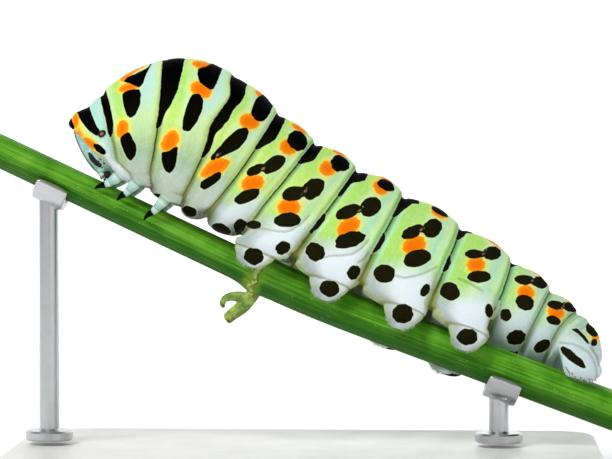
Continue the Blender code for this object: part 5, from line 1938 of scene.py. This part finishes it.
# %% The stand's finishes
p = Paint("stand white", roughness=0.4, specular=0.4)
brushed = p.noise(3.0, 4.0)
coat = p.blend(p.ramp(brushed, 0.3, 0.7), screen(238, 238, 235), screen(234, 234, 231))
dress(board, p.finish(coat, p.ramp(brushed, 0.3, 0.7, 0.34, 0.44), p.relief(p.noise(0.5), 0.004)))
p = Paint("stand steel", roughness=0.28, metallic=1.0)
turned = p.noise(0.5, 2.0)
steel = p.blend(p.ramp(turned, 0.3, 0.7), screen(200, 202, 204), screen(197, 199, 201))
steel_paint = p.finish(steel, p.ramp(turned, 0.3, 0.7, 0.28, 0.30))
for rod in rods:
    dress(rod, steel_paint)
print("the stand has", 1 + len(rods), "pieces")

# %% [markdown]
# The model is shown on a plain pale sweep, a floor that curves up into a backdrop, so that no
# horizon crosses behind it. A large soft light from above and in front does most of the work,
# and a weaker one from the tail's side fills the shadows.

# %% The sweep
PLAIN_WHITE = (1.0, 1.0, 1.0, 1.0)
GLOW_FROM, GLOW_TO, FLOOR_GLOW, WALL_GLOW = 60.0, 260.0, 0.22, 0.62
SWEEP_HALF, SWEEP_FRONT, SWEEP_BACK, SWEEP_CURVE, SWEEP_HIGH = 1.5, -1.2, 0.55, 0.35, 1.6

sweep = newly_made("studio_sweep", bpy.ops.mesh.primitive_plane_add, size=1.0)
shape(sweep, [(x, y, 0.0) for y in (SWEEP_FRONT, SWEEP_BACK) for x in (-SWEEP_HALF, SWEEP_HALF)])
bpy.ops.object.mode_set(mode="EDIT")
bpy.ops.mesh.select_all(action="DESELECT")
bpy.ops.object.mode_set(mode="OBJECT")
for edge_here in sweep.data.edges:
    edge_here.select = all(sweep.data.vertices[i].co.y > SWEEP_BACK - 0.01 for i in edge_here.vertices)
bpy.ops.object.mode_set(mode="EDIT")
bpy.ops.mesh.spin(
    steps=24, angle=math.radians(-90.0), center=(0.0, SWEEP_BACK, SWEEP_CURVE), axis=(1.0, 0.0, 0.0)
)
bpy.ops.mesh.extrude_region_move(TRANSFORM_OT_translate={"value": (0.0, 0.0, SWEEP_HIGH)})
bpy.ops.object.mode_set(mode="OBJECT")
bpy.ops.object.shade_smooth()
p = Paint("pale sweep", roughness=0.85, specular=0.2)
p.shader.inputs["Emission Color"].default_value = PLAIN_WHITE
glow = p.ramp(p.behind_mm(), GLOW_FROM, GLOW_TO, FLOOR_GLOW, WALL_GLOW)
p.link(glow, p.shader.inputs["Emission Strength"])
dress(sweep, p.finish(p.blend(p.noise(60.0), screen(250, 250, 250), screen(246, 246, 246))))
print("sweep", [round(v, 2) for v in sweep.dimensions])

# %% The lights
# name, place, size and power of each soft light, in metres and watts
LIGHTS = (
    ("key", (-0.18, -0.30, 0.42), 0.26, 1.90),
    ("fill", (0.34, -0.34, 0.16), 0.34, 0.22),
    ("back", (0.10, 0.30, 0.14), 0.30, 0.05),
)
AIR_LIGHT = 0.22
for name, at, size, power in LIGHTS:
    bpy.ops.object.light_add(type="AREA", location=at)
    lamp = bpy.context.object
    lamp.name = name
    lamp.data.size = size
    lamp.data.energy = power
    lamp.rotation_euler = (Vector(at) - aim).to_track_quat("Z", "Y").to_euler()
world = bpy.data.worlds.new("studio air")
world.use_nodes = True
sky = world.node_tree.nodes["Background"].inputs
sky["Color"].default_value = PLAIN_WHITE
sky["Strength"].default_value = AIR_LIGHT
bpy.context.scene.world = world
bpy.context.scene.view_settings.view_transform = "Standard"
print("lights:", len(LIGHTS))
